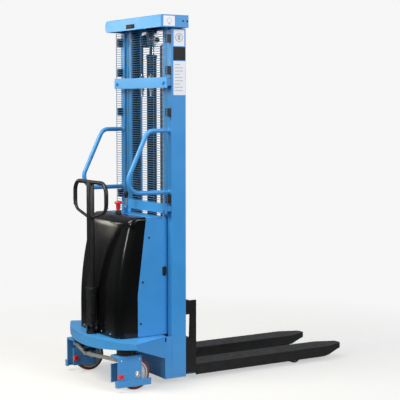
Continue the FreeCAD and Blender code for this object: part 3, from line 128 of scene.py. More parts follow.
def finish_of(name, colour, rough, metallic=0.0, specular=0.5, coat=0.0, mottle=0.08, patch=0.15,
              grain=0.1, grain_size=0.0015, scuff=None, scuff_share=0.5, scuff_size=0.03, stretch=(1, 1, 1),
              dust=0.0):
    """A surface finish: broad colour variation, uneven gloss, fine grain, scuffs, and dust near the floor."""
    material = bpy.data.materials.new(name)
    material.use_nodes = True
    tree = material.node_tree
    shader = tree.nodes["Principled BSDF"]
    place = tree.nodes.new("ShaderNodeTexCoord")
    shader.inputs["Specular IOR Level"].default_value = specular
    shader.inputs["Coat Weight"].default_value = coat
    shader.inputs["Coat Roughness"].default_value = 0.12
    broad = link_noise(tree, place, patch, 3)
    dark = tuple(channel * (1 - mottle) for channel in colour)
    light = tuple(min(1, channel * (1 + mottle)) for channel in colour)
    painted = link_mix(tree, link_range(tree, broad, 0.3, 0.7, 0, 1), dark, light)
    rough_low = max(0.03, rough * 0.85)
    roughness = link_range(tree, link_noise(tree, place, patch / 4, 4), 0.3, 0.7, rough_low, rough * 1.2)
    shader.inputs["Metallic"].default_value = metallic
    if scuff is not None:
        worn = link_range(tree, link_noise(tree, place, scuff_size, 6, stretch), 0.66, 0.74, 0, scuff_share)
        painted = link_mix(tree, worn, painted, scuff)
    if dust:
        split = tree.nodes.new("ShaderNodeSeparateXYZ")
        tree.links.new(place.outputs["Object"], split.inputs["Vector"])
        settled = link_range(tree, split.outputs["Z"], 0.02, 0.4, dust, 0)
        spread = tree.nodes.new("ShaderNodeMath")
        spread.operation = "MULTIPLY"
        tree.links.new(settled, spread.inputs[0])
        tree.links.new(link_noise(tree, place, 0.04, 5), spread.inputs[1])
        painted = link_mix(tree, spread.outputs["Value"], painted, (0.30, 0.29, 0.27))
    bump = tree.nodes.new("ShaderNodeBump")
    bump.inputs["Strength"].default_value = grain
    bump.inputs["Distance"].default_value = 0.0006
    tree.links.new(link_noise(tree, place, grain_size, 2), bump.inputs["Height"])
    tree.links.new(painted, shader.inputs["Base Color"])
    tree.links.new(roughness, shader.inputs["Roughness"])
    tree.links.new(bump.outputs["Normal"], shader.inputs["Normal"])
    return material


BLUE = (0.036, 0.250, 0.600)
FINISHES = {
    "blue_paint": finish_of("blue_paint", BLUE, 0.36, specular=0.4, coat=0.1, mottle=0.05, patch=0.35,
                            grain=0.12, grain_size=0.003, scuff=(0.026, 0.19, 0.48), scuff_share=0.35,
                            scuff_size=0.05, dust=0.18),
    "black_cover": finish_of("black_cover", (0.0024, 0.0026, 0.0028), 0.16, specular=0.28, mottle=0.15,
                             grain=0.05, grain_size=0.004, scuff=(0.006, 0.006, 0.007), scuff_share=0.3,
                             scuff_size=0.06, dust=0.03),
    "black_plastic": finish_of("black_plastic", (0.008, 0.008, 0.009), 0.42, specular=0.3, grain=0.3),
    "guard_wire": finish_of("guard_wire", (0.040, 0.150, 0.330), 0.35, coat=0.2, grain=0.1, patch=0.05),
    "black_paint": finish_of("black_paint", (0.0050, 0.0050, 0.0058), 0.40, specular=0.25, grain=0.2,
                             grain_size=0.003, scuff=(0.05, 0.05, 0.055), scuff_share=0.35, scuff_size=0.012,
                             stretch=(6, 0.5, 1), dust=0.05),
    "battery_case": finish_of("battery_case", (0.05, 0.05, 0.055), 0.5, grain=0.4, scuff=(0.12, 0.12, 0.12)),
    "cast_metal": finish_of("cast_metal", (0.33, 0.33, 0.34), 0.5, metallic=0.9, grain=0.5, grain_size=0.004),
    "oil_tank": finish_of("oil_tank", (0.62, 0.60, 0.54), 0.35, grain=0.2),
    "hose_rubber": finish_of("hose_rubber", (0.013, 0.013, 0.014), 0.55, grain=0.4, grain_size=0.001),
    "bright_steel": finish_of("bright_steel", (0.62, 0.62, 0.63), 0.28, metallic=1.0, grain=0.15,
                              grain_size=0.001, scuff=(0.35, 0.33, 0.30), scuff_share=0.3, scuff_size=0.01),
    "nylon": finish_of("nylon", (0.55, 0.53, 0.46), 0.45, grain=0.2),
    "black_steel": finish_of("black_steel", (0.008, 0.008, 0.009), 0.33, specular=0.35, grain=0.25,
                             scuff=(0.04, 0.038, 0.035), scuff_share=0.4, scuff_size=0.02,
                             stretch=(1, 1, 0.2)),
    "red_plastic": finish_of("red_plastic", (0.62, 0.012, 0.010), 0.30, coat=0.3, grain=0.08, mottle=0.1,
                             patch=0.02),
    "chromed_rod": finish_of("chromed_rod", (0.75, 0.75, 0.77), 0.10, metallic=1.0, grain=0.03, mottle=0.04),
    "chain_steel": finish_of("chain_steel", (0.045, 0.043, 0.041), 0.38, metallic=0.6, grain=0.3, patch=0.02,
                             mottle=0.3, scuff=(0.02, 0.017, 0.014), scuff_share=0.6, scuff_size=0.02),
    "roller_steel": finish_of("roller_steel", (0.45, 0.44, 0.43), 0.30, metallic=1.0, grain=0.1),
    "tiller_black": finish_of("tiller_black", (0.0065, 0.007, 0.0075), 0.36, specular=0.4, grain=0.3,
                              grain_size=0.002, scuff=(0.025, 0.025, 0.025), scuff_share=0.3,
                              scuff_size=0.02),
    "link_steel": finish_of("link_steel", (0.36, 0.37, 0.37), 0.42, metallic=0.6, grain=0.3,
                            scuff=(0.20, 0.18, 0.15), scuff_share=0.4, scuff_size=0.015),
    "wheel_tread": finish_of("wheel_tread", (0.17, 0.028, 0.018), 0.42, grain=0.25, grain_size=0.002,
                             scuff=(0.10, 0.04, 0.03), scuff_share=0.4, scuff_size=0.01),
}
HUB = finish_of("wheel_hub_paint", (0.55, 0.56, 0.58), 0.4, metallic=0.3, grain=0.3, grain_size=0.003)
LABEL_WHITE = finish_of("label_white", (0.72, 0.74, 0.80), 0.35, coat=0.3, mottle=0.03, grain=0.02)
LABEL_BLACK = finish_of("label_black", (0.004, 0.004, 0.0045), 0.35, specular=0.2, mottle=0.1, grain=0.05)
LABEL_GREY = finish_of("label_grey", (0.36, 0.37, 0.41), 0.40, mottle=0.05, grain=0.02)
# Painted shade: a near-black finish, streaked along Z, for the film that stands in for the deep shade inside
# the inner channels.
RECESS_SHADE = finish_of("painted_recess_shade", (0.010, 0.010, 0.011), 0.30, specular=0.35, mottle=0.4, patch=0.05,
                  grain=0.2, scuff=(0.05, 0.048, 0.045), scuff_share=0.4, scuff_size=0.015,
                  stretch=(1, 1, 0.08))


# ---------------------------------------------------------------- carried CAD nodes

SLOT_OF = {row["node"]: row["material_slot"] for row in frame["record"]["subparts"]}


def dress(node, edge=0.0012):
    """Gives a CAD node its finish, smooth shading and fine rounded edges, and leaves its vertices alone."""
    piece = frame["nodes"][node]
    mesh = piece.data
    mesh.materials.clear()
    mesh.materials.append(FINISHES[SLOT_OF[node]])
    mesh.polygons.foreach_set("material_index", [0] * len(mesh.polygons))
    mesh.polygons.foreach_set("use_smooth", [True] * len(mesh.polygons))
    if "custom_normal" in mesh.attributes:
        mesh.attributes.remove(mesh.attributes["custom_normal"])
    weld = piece.modifiers.new("weld", "WELD")
    weld.merge_threshold = 0.00001
    flat = piece.modifiers.new("flat", "DECIMATE")
    flat.decimate_type = "DISSOLVE"
    flat.angle_limit = math.radians(0.5)
    rounding = piece.modifiers.new("rounding", "BEVEL")
    rounding.width = edge
    rounding.segments = 2
    rounding.limit_method = "ANGLE"
    rounding.angle_limit = math.radians(35)
    rounding.harden_normals = True


# ---------------------------------------------------------------- mesh tools

def make_piece(name, bm, material, body=None, stands_for=(), sharp=35):
    """Turns a bmesh into a named piece that rides on a body, with edges sharper than the limit kept crisp."""
    bmesh.ops.recalc_face_normals(bm, faces=bm.faces)
    for face in bm.faces:
        face.smooth = True
    for edge in bm.edges:
        if len(edge.link_faces) == 2 and edge.calc_face_angle(0) > math.radians(sharp):
            edge.smooth = False
    mesh = bpy.data.meshes.new(name)
    bm.to_mesh(mesh)
    bm.free()
    mesh.materials.append(material)
    piece = bpy.data.objects.new(name, mesh)
    bpy.context.scene.collection.objects.link(piece)
    if stands_for:
        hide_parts(*stands_for)
    if body:
        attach(piece, body)
    return piece


def basis(direction):
    """Two unit vectors square to a direction and to each other."""
    turn = Vector(direction).to_track_quat("Z", "Y")
    return turn @ Vector((1, 0, 0)), turn @ Vector((0, 1, 0))


def add_rings(bm, rings):
    """Skins a row of rings of points, with its ends closed; a ring of one point is a tip."""
    rows = [[bm.verts.new(point) for point in ring] for ring in rings]
    for first, second in zip(rows, rows[1:]):
        count = max(len(first), len(second))
        for index in range(count):
            following = (index + 1) % count
            corners = [first[index % len(first)], first[following % len(first)],
                       second[following % len(second)], second[index % len(second)]]
            unique = list(dict.fromkeys(corners))
            if len(unique) > 2:
                bm.faces.new(unique)
    for row in (rows[0], rows[-1]):
        if len(row) > 2:
            bm.faces.new(row)


def add_lathe(bm, profile, base, direction, sides=32):
    """A turned solid: profile is (distance along, radius) pairs from the base point."""
    direction = Vector(direction).normalized()
    across, up = basis(direction)
    rings = []
    for along, radius in profile:
        centre = Vector(base) + direction * along
        if radius < 1e-6:
            rings.append([centre])
            continue
        angles = [2 * math.pi * side / sides for side in range(sides)]
        rings.append([centre + (across * math.cos(a) + up * math.sin(a)) * radius for a in angles])
    add_rings(bm, rings)


def add_ring(bm, profile, base, direction, sides=48):
    """A turned ring: profile is a closed outline of (distance along, radius) pairs, all off the axis."""
    direction = Vector(direction).normalized()
    across, up = basis(direction)
    rows = []
    for side in range(sides):
        angle = 2 * math.pi * side / sides
        out = across * math.cos(angle) + up * math.sin(angle)
        rows.append([bm.verts.new(Vector(base) + direction * along + out * radius)
                     for along, radius in profile])
    for side in range(sides):
        first, second = rows[side], rows[(side + 1) % sides]
        for index in range(len(profile)):
            following = (index + 1) % len(profile)
            bm.faces.new((first[index], first[following], second[following], second[index]))


def add_tube(bm, path, radius, sides=16):
    """A round bar along a path; radius is one number or one for each point."""
    path = [Vector(point) for point in path]
    radii = radius if isinstance(radius, (list, tuple)) else [radius] * len(path)
    heading = (path[1] - path[0]).normalized()
    across, up = basis(heading)
    rings = []
    for index, point in enumerate(path):
        before = path[max(index - 1, 0)]
        after = path[min(index + 1, len(path) - 1)]
        turned = (after - before).normalized()
        swing = heading.rotation_difference(turned)
        across, up, heading = swing @ across, swing @ up, turned
        rings.append([point + (across * math.cos(a) + up * math.sin(a)) * radii[index]
                      for a in (2 * math.pi * side / sides for side in range(sides))])
    add_rings(bm, rings)


def rounded(corners, bends, steps=8):
    """Points along straight runs with arcs at the inner corners."""
    corners = [Vector(corner) for corner in corners]
    points = [corners[0]]
    for index in range(1, len(corners) - 1):
        corner, bend = corners[index], bends[index - 1]
        back = (corners[index - 1] - corner).normalized()
        ahead = (corners[index + 1] - corner).normalized()
        half = back.angle(ahead) / 2
        centre = corner + (back + ahead).normalized() * (bend / math.sin(half))
        start = corner + back * (bend / math.tan(half)) - centre
        end = corner + ahead * (bend / math.tan(half)) - centre
        swing = start.rotation_difference(end)
        for step in range(steps + 1):
            points.append(centre + Quaternion().slerp(swing, step / steps) @ start)
    points.append(corners[-1])
    return points


def add_block(bm, lowest, highest, edge=0.0008, segments=2):
    """A block with rounded edges."""
    lowest, highest = Vector(lowest), Vector(highest)
    made = bmesh.ops.create_cube(bm, size=1)["verts"]
    size = highest - lowest
    for vert in made:
        vert.co = (lowest + highest) / 2 + Vector(a * b for a, b in zip(vert.co, size))
    sides = list({side for vert in made for side in vert.link_edges})
    bmesh.ops.bevel(bm, geom=sides, offset=edge, segments=segments, affect="EDGES", profile=0.5)


def add_plate_outline(bm, outline, thickness):
    """A flat outline of points, thickened along a vector."""
    back = [bm.verts.new(point) for point in outline]
    front = [bm.verts.new(Vector(point) + Vector(thickness)) for point in outline]
    bm.faces.new(back)
    bm.faces.new(front)
    for index in range(len(outline)):
        following = (index + 1) % len(outline)
        bm.faces.new((back[index], back[following], front[following], front[index]))


def add_bolt(bm, seat, direction, across=0.013, washer=True):
    """A hexagon bolt head on a washer, on its seat."""
    base = 0.0
    if washer:
        base = 0.002
        add_lathe(bm, [(0, across * 0.85), (0.8 * base, across * 0.85), (base, across * 0.8)], seat,
                  direction, 24)
    head = across * 0.62
    tall = across * 0.5
    add_lathe(bm, [(base, head), (base + tall * 0.8, head), (base + tall, head * 0.82)], seat, direction, 6)


def add_screw(bm, seat, direction, radius=0.005):
    """A domed screw head with a hexagon socket."""
    add_lathe(bm, [(0, radius), (radius * 0.35, radius * 0.95), (radius * 0.55, radius * 0.7),
                   (radius * 0.6, radius * 0.45), (radius * 0.2, radius * 0.42), (radius * 0.2, 0)],
              seat, direction, 18)


# ---------------------------------------------------------------- painted recess shade

def recess_shade_film():
    """A near-black film inside the inner channels, where the carriage rollers run: painted shade in the
    channel recesses.
    """
    lowest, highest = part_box("inner_mast")
    web = high("side_panel_right").x - 0.0120
    lip = 0.189
    film = 0.0004
    head = 2.010
    rear = lowest.y + CHANNEL_WALL
    front = highest.y - CHANNEL_WALL
    bm = bmesh.new()
    # Thin films on each channel's web and on the inside of its front flange: painted shade in the recess.
    for side in (-1, 1):
        near, far = sorted((side * (web - film), side * web))
        add_block(bm, (near, rear, lowest.z), (far, front, head), 0.0001, 1)
        near, far = sorted((side * lip, side * web))
        add_block(bm, (near, front - film, lowest.z), (far, front, head), 0.0001, 1)
    make_piece("recess_shade_film", bm, RECESS_SHADE, "inner_mast")


# ---------------------------------------------------------------- wire guard

def wire_guard():
    """Round level wires on five uprights, open where the handles and beam fittings pass."""
    lowest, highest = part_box("mesh_guard")
    wire = 0.0017
    rows, bays = 78, 4
    line = (lowest.y + highest.y) / 2
    pitch = (highest.z - lowest.z - 2 * wire) / rows
    bay = (highest.x - lowest.x - 2 * wire) / bays
    handle_low, handle_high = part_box("grab_handle_right")
    handle_side = (handle_low.x + handle_high.x) / 2
    beam_line = (low("anchor_beam").z + high("anchor_beam").z) / 2
    low_beam_line = (low("lower_guard_beam").z + high("lower_guard_beam").z) / 2
    # Each window: its middle's X and Z, then half its width and half its height.
    windows = [(SPACER_SIDE, low_beam_line, 0.020, 0.019)]
    for side in (-1, 1):
        windows += [(side * handle_side, handle_high.z - HANDLE_RADIUS, 0.019, 0.019),
                    (side * handle_side, handle_low.z + HANDLE_RADIUS, 0.019, 0.019),
                    (side * SPACER_SIDE, beam_line, 0.020, 0.022),
                    (side * PULLEY_SIDE, beam_line, 0.018, 0.026)]

    def pieces_of(start, end, cuts):
        """The stretches from start to end left outside the cuts, without stubs."""
        stub = 0.004
        left = [(start, end)]
        for cut_start, cut_end in cuts:
            left = [part for a, b in left for part in ((a, min(b, cut_start)), (max(a, cut_end), b))
                    if part[1] - part[0] > stub]
        return left

    bm = bmesh.new()
    for row in range(rows + 1):
        rise = lowest.z + wire + row * pitch
        cuts = [(x - half_x, x + half_x) for x, z, half_x, half_z in windows if abs(rise - z) < half_z]
        for start, end in pieces_of(lowest.x, highest.x, cuts):
            add_tube(bm, [(start, line, rise), (end, line, rise)], wire, 8)
    for column in range(bays + 1):
        side = lowest.x + wire + column * bay
        cuts = [(z - half_z, z + half_z) for x, z, half_x, half_z in windows if abs(side - x) < half_x]
        for start, end in pieces_of(lowest.z, highest.z, cuts):
            add_tube(bm, [(side, line - 0.001, start), (side, line - 0.001, end)], wire * 1.15, 8)
    make_piece("wire_guard", bm, FINISHES["guard_wire"], "root", ["mesh_guard"])


# ---------------------------------------------------------------- lift chains

# Where the link plates start and end across the chain, for every other link.
OUTER_PLATES = ((0.0, 0.0015), (0.0072, 0.0102), (0.0159, 2 * CHAIN_HALF))
INNER_PLATES = ((0.0017, 0.0070), (0.0104, 0.0157))
LINK_HALF = 0.0044
PIN_RADIUS = 0.0022
PIN_OVERHANG = 0.0001


def add_chain(bm, joints, side):
    """A leaf chain through the given pin centres, in the plane square to X."""
    left = side - CHAIN_HALF
    for index, (first, second) in enumerate(zip(joints, joints[1:])):
        first, second = Vector(first), Vector(second)
        along = (second - first).normalized()
        across = along.cross(Vector((1, 0, 0)))
        outline = []
        for centre, heading, side_way in ((first, -along, -across), (second, along, across)):
            for step in range(5):
                angle = -math.pi / 2 + math.pi * step / 4
                outline.append(centre + (heading * math.cos(angle) + side_way * math.sin(angle)) * LINK_HALF)
        for start, end in INNER_PLATES if index % 2 else OUTER_PLATES:
            shifted = [Vector((left + start, point.y, point.z)) for point in outline]
            add_plate_outline(bm, shifted, (end - start, 0, 0))
    length = 2 * (CHAIN_HALF + PIN_OVERHANG)
    for joint in joints:
        seat = (left - PIN_OVERHANG, joint[1], joint[2])
        add_lathe(bm, [(0, PIN_RADIUS), (length, PIN_RADIUS)], seat, (1, 0, 0), 10)


def chains():
    """Leaf chains: rear strands to the frame, wraps over the pulleys, front strands to the carriage."""
    rear_line = (low("chain_rear_strands").y + high("chain_rear_strands").y) / 2
    front_line = (low("chain_front_strands").y + high("chain_front_strands").y) / 2
    steel = FINISHES["chain_steel"]
    strands = {"rear": ("root", rear_line, low("chain_rear_strands").z, 15),
               "front": ("carriage", front_line, low("chain_front_strands").z, 119)}
    for name, (body, line, start, links) in strands.items():
        bm = bmesh.new()
        pitch = (PULLEY_RISE - start) / links
        for side in (-PULLEY_SIDE, PULLEY_SIDE):
            add_chain(bm, [(side, line, start + pitch * link) for link in range(links + 1)], side)
        piece = make_piece("chain_%s_links" % name, bm, steel, None,
                           ["chain_%s_strands" % name])
        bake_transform(piece)
    bm = bmesh.new()
    reach = (front_line - rear_line) / 2
    links = 8
    for side in (-PULLEY_SIDE, PULLEY_SIDE):
        angles = [math.pi * link / links for link in range(links + 1)]
        joints = [(side, PULLEY_LINE - math.cos(angle) * reach, PULLEY_RISE + math.sin(angle) * reach)
                  for angle in angles]
        add_chain(bm, joints, side)
    make_piece("chain_wrap_links", bm, steel, "inner_mast", ["chain_wraps"])


# ---------------------------------------------------------------- rear cover

def cover_profile():
    """The cover's back and top in side view: (distance behind the mast, height, lean) from the foot up."""
    foot, head = low("rear_cover").z, high("rear_cover").z
    reach = MAST_REAR - low("rear_cover").y
    points = [(reach, foot + (COVER_UPRIGHT - foot) * step / 4, 0.0) for step in range(4)]
    arc_steps = 12
    for step in range(arc_steps + 1):
        angle = COVER_LEAN * step / arc_steps
        points.append((reach - COVER_SWEEP * (1 - math.cos(angle)),
                       COVER_UPRIGHT + COVER_SWEEP * math.sin(angle), angle))
    distance, rise, _ = points[-1]
    bend_rise = head - COVER_TOP_BEND * (1 - math.sin(COVER_LEAN))
    slope = math.tan(COVER_LEAN)
    for step in range(1, 4):
        climb = (bend_rise - rise) * step / 4
        points.append((distance - climb * slope, rise + climb, COVER_LEAN))
    centre = (distance - (bend_rise - rise) * slope - COVER_TOP_BEND * math.cos(COVER_LEAN),
              bend_rise - COVER_TOP_BEND * math.sin(COVER_LEAN))
    for step in range(arc_steps + 1):
        angle = COVER_LEAN + (math.pi / 2 - COVER_LEAN) * step / arc_steps
        points.append((centre[0] + COVER_TOP_BEND * math.cos(angle),
                       centre[1] + COVER_TOP_BEND * math.sin(angle), angle))
    distance = points[-1][0]
    for step in range(1, 5):
        points.append((distance + (SEAM_HIGH - distance) * step / 4, head, math.pi / 2))
    return points


def seam_reach(rise):
    """How far behind the mast the cover meets the side panels, at a height."""
    share = (rise - SEAM_KNEE) / (high("rear_cover").z - SEAM_KNEE)
    return SEAM_LOW + (SEAM_HIGH - SEAM_LOW) * max(0.0, share)


def rear_cover_shell():
    """A moulded shell: swept back, large rounded corners, a slight crown, and sides out to the seam."""
    half = high("rear_cover").x
    top_corner = 0.016
    crown = 0.006
    wall = 0.004
    arc_steps, side_steps, back_steps = 8, 5, 16
    bm = bmesh.new()
    grid = []
    for distance, rise, lean in cover_profile():
        share = max(0.0, (lean - COVER_LEAN) / (math.pi / 2 - COVER_LEAN))
        radius = COVER_CORNER + (top_corner - COVER_CORNER) * share
        flat = half - radius

        def surface(x, inset):
            bulge = crown * (1 - share) * max(0.0, 1 - (x / flat) ** 2) if inset == 0 else 0.0
            depth = inset - bulge
            return Vector((x, MAST_REAR - distance + depth * math.cos(lean), rise - depth * math.sin(lean)))

        right = [surface(flat + radius * math.sin(angle), radius * (1 - math.cos(angle)))
                 for angle in (math.pi / 2 * step / arc_steps for step in range(1, arc_steps + 1))]
        end = right[-1]
        seam = MAST_REAR - min(MAST_REAR - end.y, seam_reach(end.z))
        right += [Vector((half, end.y + (seam - end.y) * step / side_steps, end.z))
                  for step in range(1, side_steps + 1)]
        row = [Vector((-point.x, point.y, point.z)) for point in reversed(right)]
        row += [surface(-flat + 2 * flat * step / back_steps, 0) for step in range(back_steps + 1)]
        row += right
        grid.append([bm.verts.new(point) for point in row])
    for first, second in zip(grid, grid[1:]):
        for index in range(len(first) - 1):
            bm.faces.new((first[index], first[index + 1], second[index + 1], second[index]))
    bmesh.ops.remove_doubles(bm, verts=bm.verts, dist=0.00005)
    piece = make_piece("rear_cover_shell", bm, FINISHES["black_cover"], "root", ["rear_cover"],
                       60)
    shell = piece.modifiers.new("wall", "SOLIDIFY")
    shell.thickness = wall
    shell.offset = -1
    lip = piece.modifiers.new("lip", "BEVEL")
    lip.width = 0.001
    lip.segments = 2
    lip.limit_method = "ANGLE"
    lip.angle_limit = math.radians(50)
    lip.harden_normals = True


# ---------------------------------------------------------------- tiller

def tiller():
    """Moulded handle loop on a rectangular bar, and the bolts of its lower casting."""
    lowest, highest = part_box("tiller_arm")
    tube = 0.012
    half = highest.x - tube
    head = highest.z - tube
    neck, waist = 0.940, 0.990
    route = rounded([(0, COLUMN_LINE, head), (half, COLUMN_LINE, head), (half, COLUMN_LINE, waist),
                     (0, COLUMN_LINE, neck)], [0.060, 0.060], 10)
    length = [0.0]
    for first, second in zip(route, route[1:]):
        length.append(length[-1] + (second - first).length)
    fine = []
    steps = 60
    for step in range(steps + 1):
        target = length[-1] * step / steps
        index = max(i for i, reached in enumerate(length) if reached <= target + 1e-9)
        index = min(index, len(route) - 2)
        share = (target - length[index]) / max(1e-9, length[index + 1] - length[index])
        fine.append(route[index].lerp(route[index + 1], share))
    radii = []
    thin = 0.0085
    for point in fine:
        grip = 0.0122 + 0.0008 * math.cos((point.z - 1.075) / 0.06 * math.pi)
        fade = min(1.0, max(0.0, (point.z - 0.985) / 0.04))
        radii.append(min(tube, thin + (grip - thin) * fade * fade * (3 - 2 * fade)))
    bm = bmesh.new()
    add_tube(bm, fine, radii, 20)
    add_tube(bm, [Vector((-p.x, p.y, p.z)) for p in fine], radii, 20)
    seam = [(-0.002, 0.0118), (-0.001, 0.0130), (0.001, 0.0130), (0.002, 0.0118)]
    for side in (-1, 1):
        add_ring(bm, seam, (side * half, COLUMN_LINE, 1.010), (0, 0, 1), 24)
        add_ring(bm, seam, (side * 0.120, COLUMN_LINE, head), (1, 0, 0), 24)
    make_piece("tiller_loop", bm, FINISHES["tiller_black"], "tiller", ["tiller_arm"])

    bm = bmesh.new()
    foot = lowest.z
    bar_x, bar_y, edge = 0.025, 0.015, 0.007
    outline = []
    for corner_x, corner_y, start in ((1, 1, 0), (-1, 1, 1), (-1, -1, 2), (1, -1, 3)):
        for step in range(5):
            angle = math.pi / 2 * (start + step / 4)
            outline.append((corner_x * (bar_x - edge) + edge * math.cos(angle),
                            corner_y * (bar_y - edge) + edge * math.sin(angle)))
    rises = [foot, neck, head - 0.006, head - 0.002]
    scales = [1.0, 1.0, 1.0, 0.92]
    add_rings(bm, [[(x * scale, COLUMN_LINE + y * scale, rise) for x, y in outline]
                   for rise, scale in zip(rises, scales)])
    rib = 0.0012
    for side in (-1, 1):
        add_block(bm, (side * 0.012 - 0.004, COLUMN_LINE - bar_y - rib, foot + 0.02),
                  (side * 0.012 + 0.004, COLUMN_LINE - bar_y + 0.002, head - 0.03), 0.0008)
    add_block(bm, (-0.029, COLUMN_LINE - 0.019, foot), (0.029, COLUMN_LINE + 0.019, foot + 0.012), 0.003)
    make_piece("tiller_bar", bm, FINISHES["tiller_black"], "tiller")

    bm = bmesh.new()
    faces = ((0.030, 0.500), (0.027, 0.400))
    for side in (-1, 1):
        for face, rise in faces:
            add_bolt(bm, (side * (face - 0.0005), COLUMN_LINE, rise), (side, 0, 0), 0.010)
    for rise, depth in ((0.370, 0.018), (0.440, 0.018), (0.510, 0.020)):
        add_screw(bm, (0, COLUMN_LINE - depth, rise), (0, -1, 0), 0.004)
    make_piece("tiller_bolts", bm, FINISHES["black_steel"], "tiller")


# ---------------------------------------------------------------- wheels

def both_faces(profile):
    """A wheel's outline from its left face to the middle, completed with its mirror image."""
    return profile + [(-along, radius) for along, radius in reversed(profile)]


def add_spoke_bosses(bm, centre, half):
    """Six low bosses on each face of a steering wheel's hub."""
    for face in (-1, 1):
        for spoke in range(6):
            angle = math.pi / 3 * spoke
            out = Vector((0, math.cos(angle), math.sin(angle)))
            seat = centre + Vector((face * (half - 0.0115), 0, 0)) + out * 0.046
            add_lathe(bm, [(0, 0.008), (0.0015, 0.008), (0.003, 0.006)], seat, (face, 0, 0), 16)


def wheels():
    """Steering wheels and load rollers: polyurethane treads on dished hubs with bearings."""
    tread = FINISHES["wheel_tread"]
    for name in ("right", "left"):
        node = "steer_wheel_" + name
        lowest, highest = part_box(node)
        centre = (lowest + highest) / 2
        half = (highest.x - lowest.x) / 2
        rim = (highest.z - lowest.z) / 2
        tread_in = rim - 0.016
        bm = bmesh.new()
        profile = both_faces([(-half + 0.001, tread_in), (-half, rim - 0.012), (-half + 0.002, rim - 0.005),
                              (-half + 0.007, rim - 0.0008), (-half + 0.012, rim)])
        add_ring(bm, profile, centre, (1, 0, 0), 96)
        make_piece("wheel_tread_" + name, bm, tread, node, [node])
        bm = bmesh.new()
        profile = both_faces([(-half + 0.002, tread_in), (-half + 0.002, tread_in - 0.007),
                              (-half + 0.010, tread_in - 0.012), (-half + 0.012, 0.030),
                              (-half + 0.003, 0.026), (-half + 0.003, AXLE_BORE)])
        add_ring(bm, profile, centre, (1, 0, 0), 64)
        add_spoke_bosses(bm, centre, half)
        make_piece("wheel_hub_" + name, bm, HUB, node)

        node = "load_roller_" + name
        lowest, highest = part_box(node)
        centre = (lowest + highest) / 2
        half = (highest.x - lowest.x) / 2
        rim = (highest.z - lowest.z) / 2
        core = 0.028
        bm = bmesh.new()
        profile = both_faces([(-half, core), (-half, rim - 0.004), (-half + 0.0015, rim - 0.001),
                              (-half + 0.005, rim)])
        add_ring(bm, profile, centre, (1, 0, 0), 72)
        make_piece("roller_tread_" + name, bm, tread, node, [node])
        bm = bmesh.new()
        profile = both_faces([(-half + 0.002, core), (-half + 0.002, 0.022), (-half + 0.005, 0.020),
                              (-half + 0.005, AXLE_BORE)])
        add_ring(bm, profile, centre, (1, 0, 0), 48)
        make_piece("roller_hub_" + name, bm, HUB, node)


# ---------------------------------------------------------------- controls

def controls():
    """Mushroom emergency stop on its collar, and the lift lever with its knob."""
    lowest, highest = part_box("estop_button")
    centre = (lowest + highest) / 2
    radius = (highest.x - lowest.x) / 2
    head = highest.z
    bm = bmesh.new()
    add_lathe(bm, [(head - 0.068, 0), (head - 0.068, 0.0085), (head - 0.050, 0.0085), (head - 0.049, 0.0125),
                   (head - 0.018, 0.0135), (head - 0.0165, radius - 0.003), (head - 0.0145, radius - 0.0004),
                   (head - 0.0125, radius), (head - 0.0095, radius - 0.0003), (head - 0.005, radius - 0.0030),
                   (head - 0.002, radius - 0.0085), (head - 0.0005, 0.007), (head, 0)],
              (centre.x, centre.y, 0), (0, 0, 1), 48)
    make_piece("stop_mushroom", bm, FINISHES["red_plastic"], "estop_button", ["estop_button"])
    foot = low("estop_base").z
    bm = bmesh.new()
    add_ring(bm, [(foot, 0.0135), (foot, 0.020), (foot + 0.003, 0.020), (foot + 0.004, 0.017),
                  (foot + 0.017, 0.016), (foot + 0.019, 0.0145), (foot + 0.019, 0.0135)],
             (centre.x, centre.y, 0), (0, 0, 1), 40)
    make_piece("stop_collar", bm, FINISHES["black_plastic"], "root", ["estop_base"])

    lowest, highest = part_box("control_lever")
    centre = (lowest + highest) / 2
    pivot = lowest.z + 0.008
    head = highest.z
    knob_foot = head - 0.043
    bm = bmesh.new()
    add_ring(bm, [(-0.006, 0.0041), (-0.006, 0.0072), (-0.005, 0.008), (0.005, 0.008), (0.006, 0.0072),
                  (0.006, 0.0041)], (centre.x, centre.y, pivot), (1, 0, 0), 32)
    add_lathe(bm, [(pivot + 0.006, 0.005), (knob_foot - 0.006, 0.0042), (knob_foot - 0.005, 0.0065),
                   (knob_foot + 0.001, 0.0065)], (centre.x, centre.y, 0), (0, 0, 1), 20)
    make_piece("lever_stalk", bm, FINISHES["bright_steel"], "lift_lever", ["control_lever"])
    bm = bmesh.new()
    add_lathe(bm, [(knob_foot, 0), (knob_foot, 0.0070), (knob_foot + 0.003, 0.0090),
                   (knob_foot + 0.012, 0.0115), (knob_foot + 0.026, 0.0128), (knob_foot + 0.035, 0.0118),
                   (knob_foot + 0.040, 0.0090), (head - 0.0008, 0.004), (head, 0)],
              (centre.x, centre.y, 0), (0, 0, 1), 32)
    make_piece("lever_knob", bm, FINISHES["black_plastic"], "lift_lever")


# ---------------------------------------------------------------- fasteners and fittings

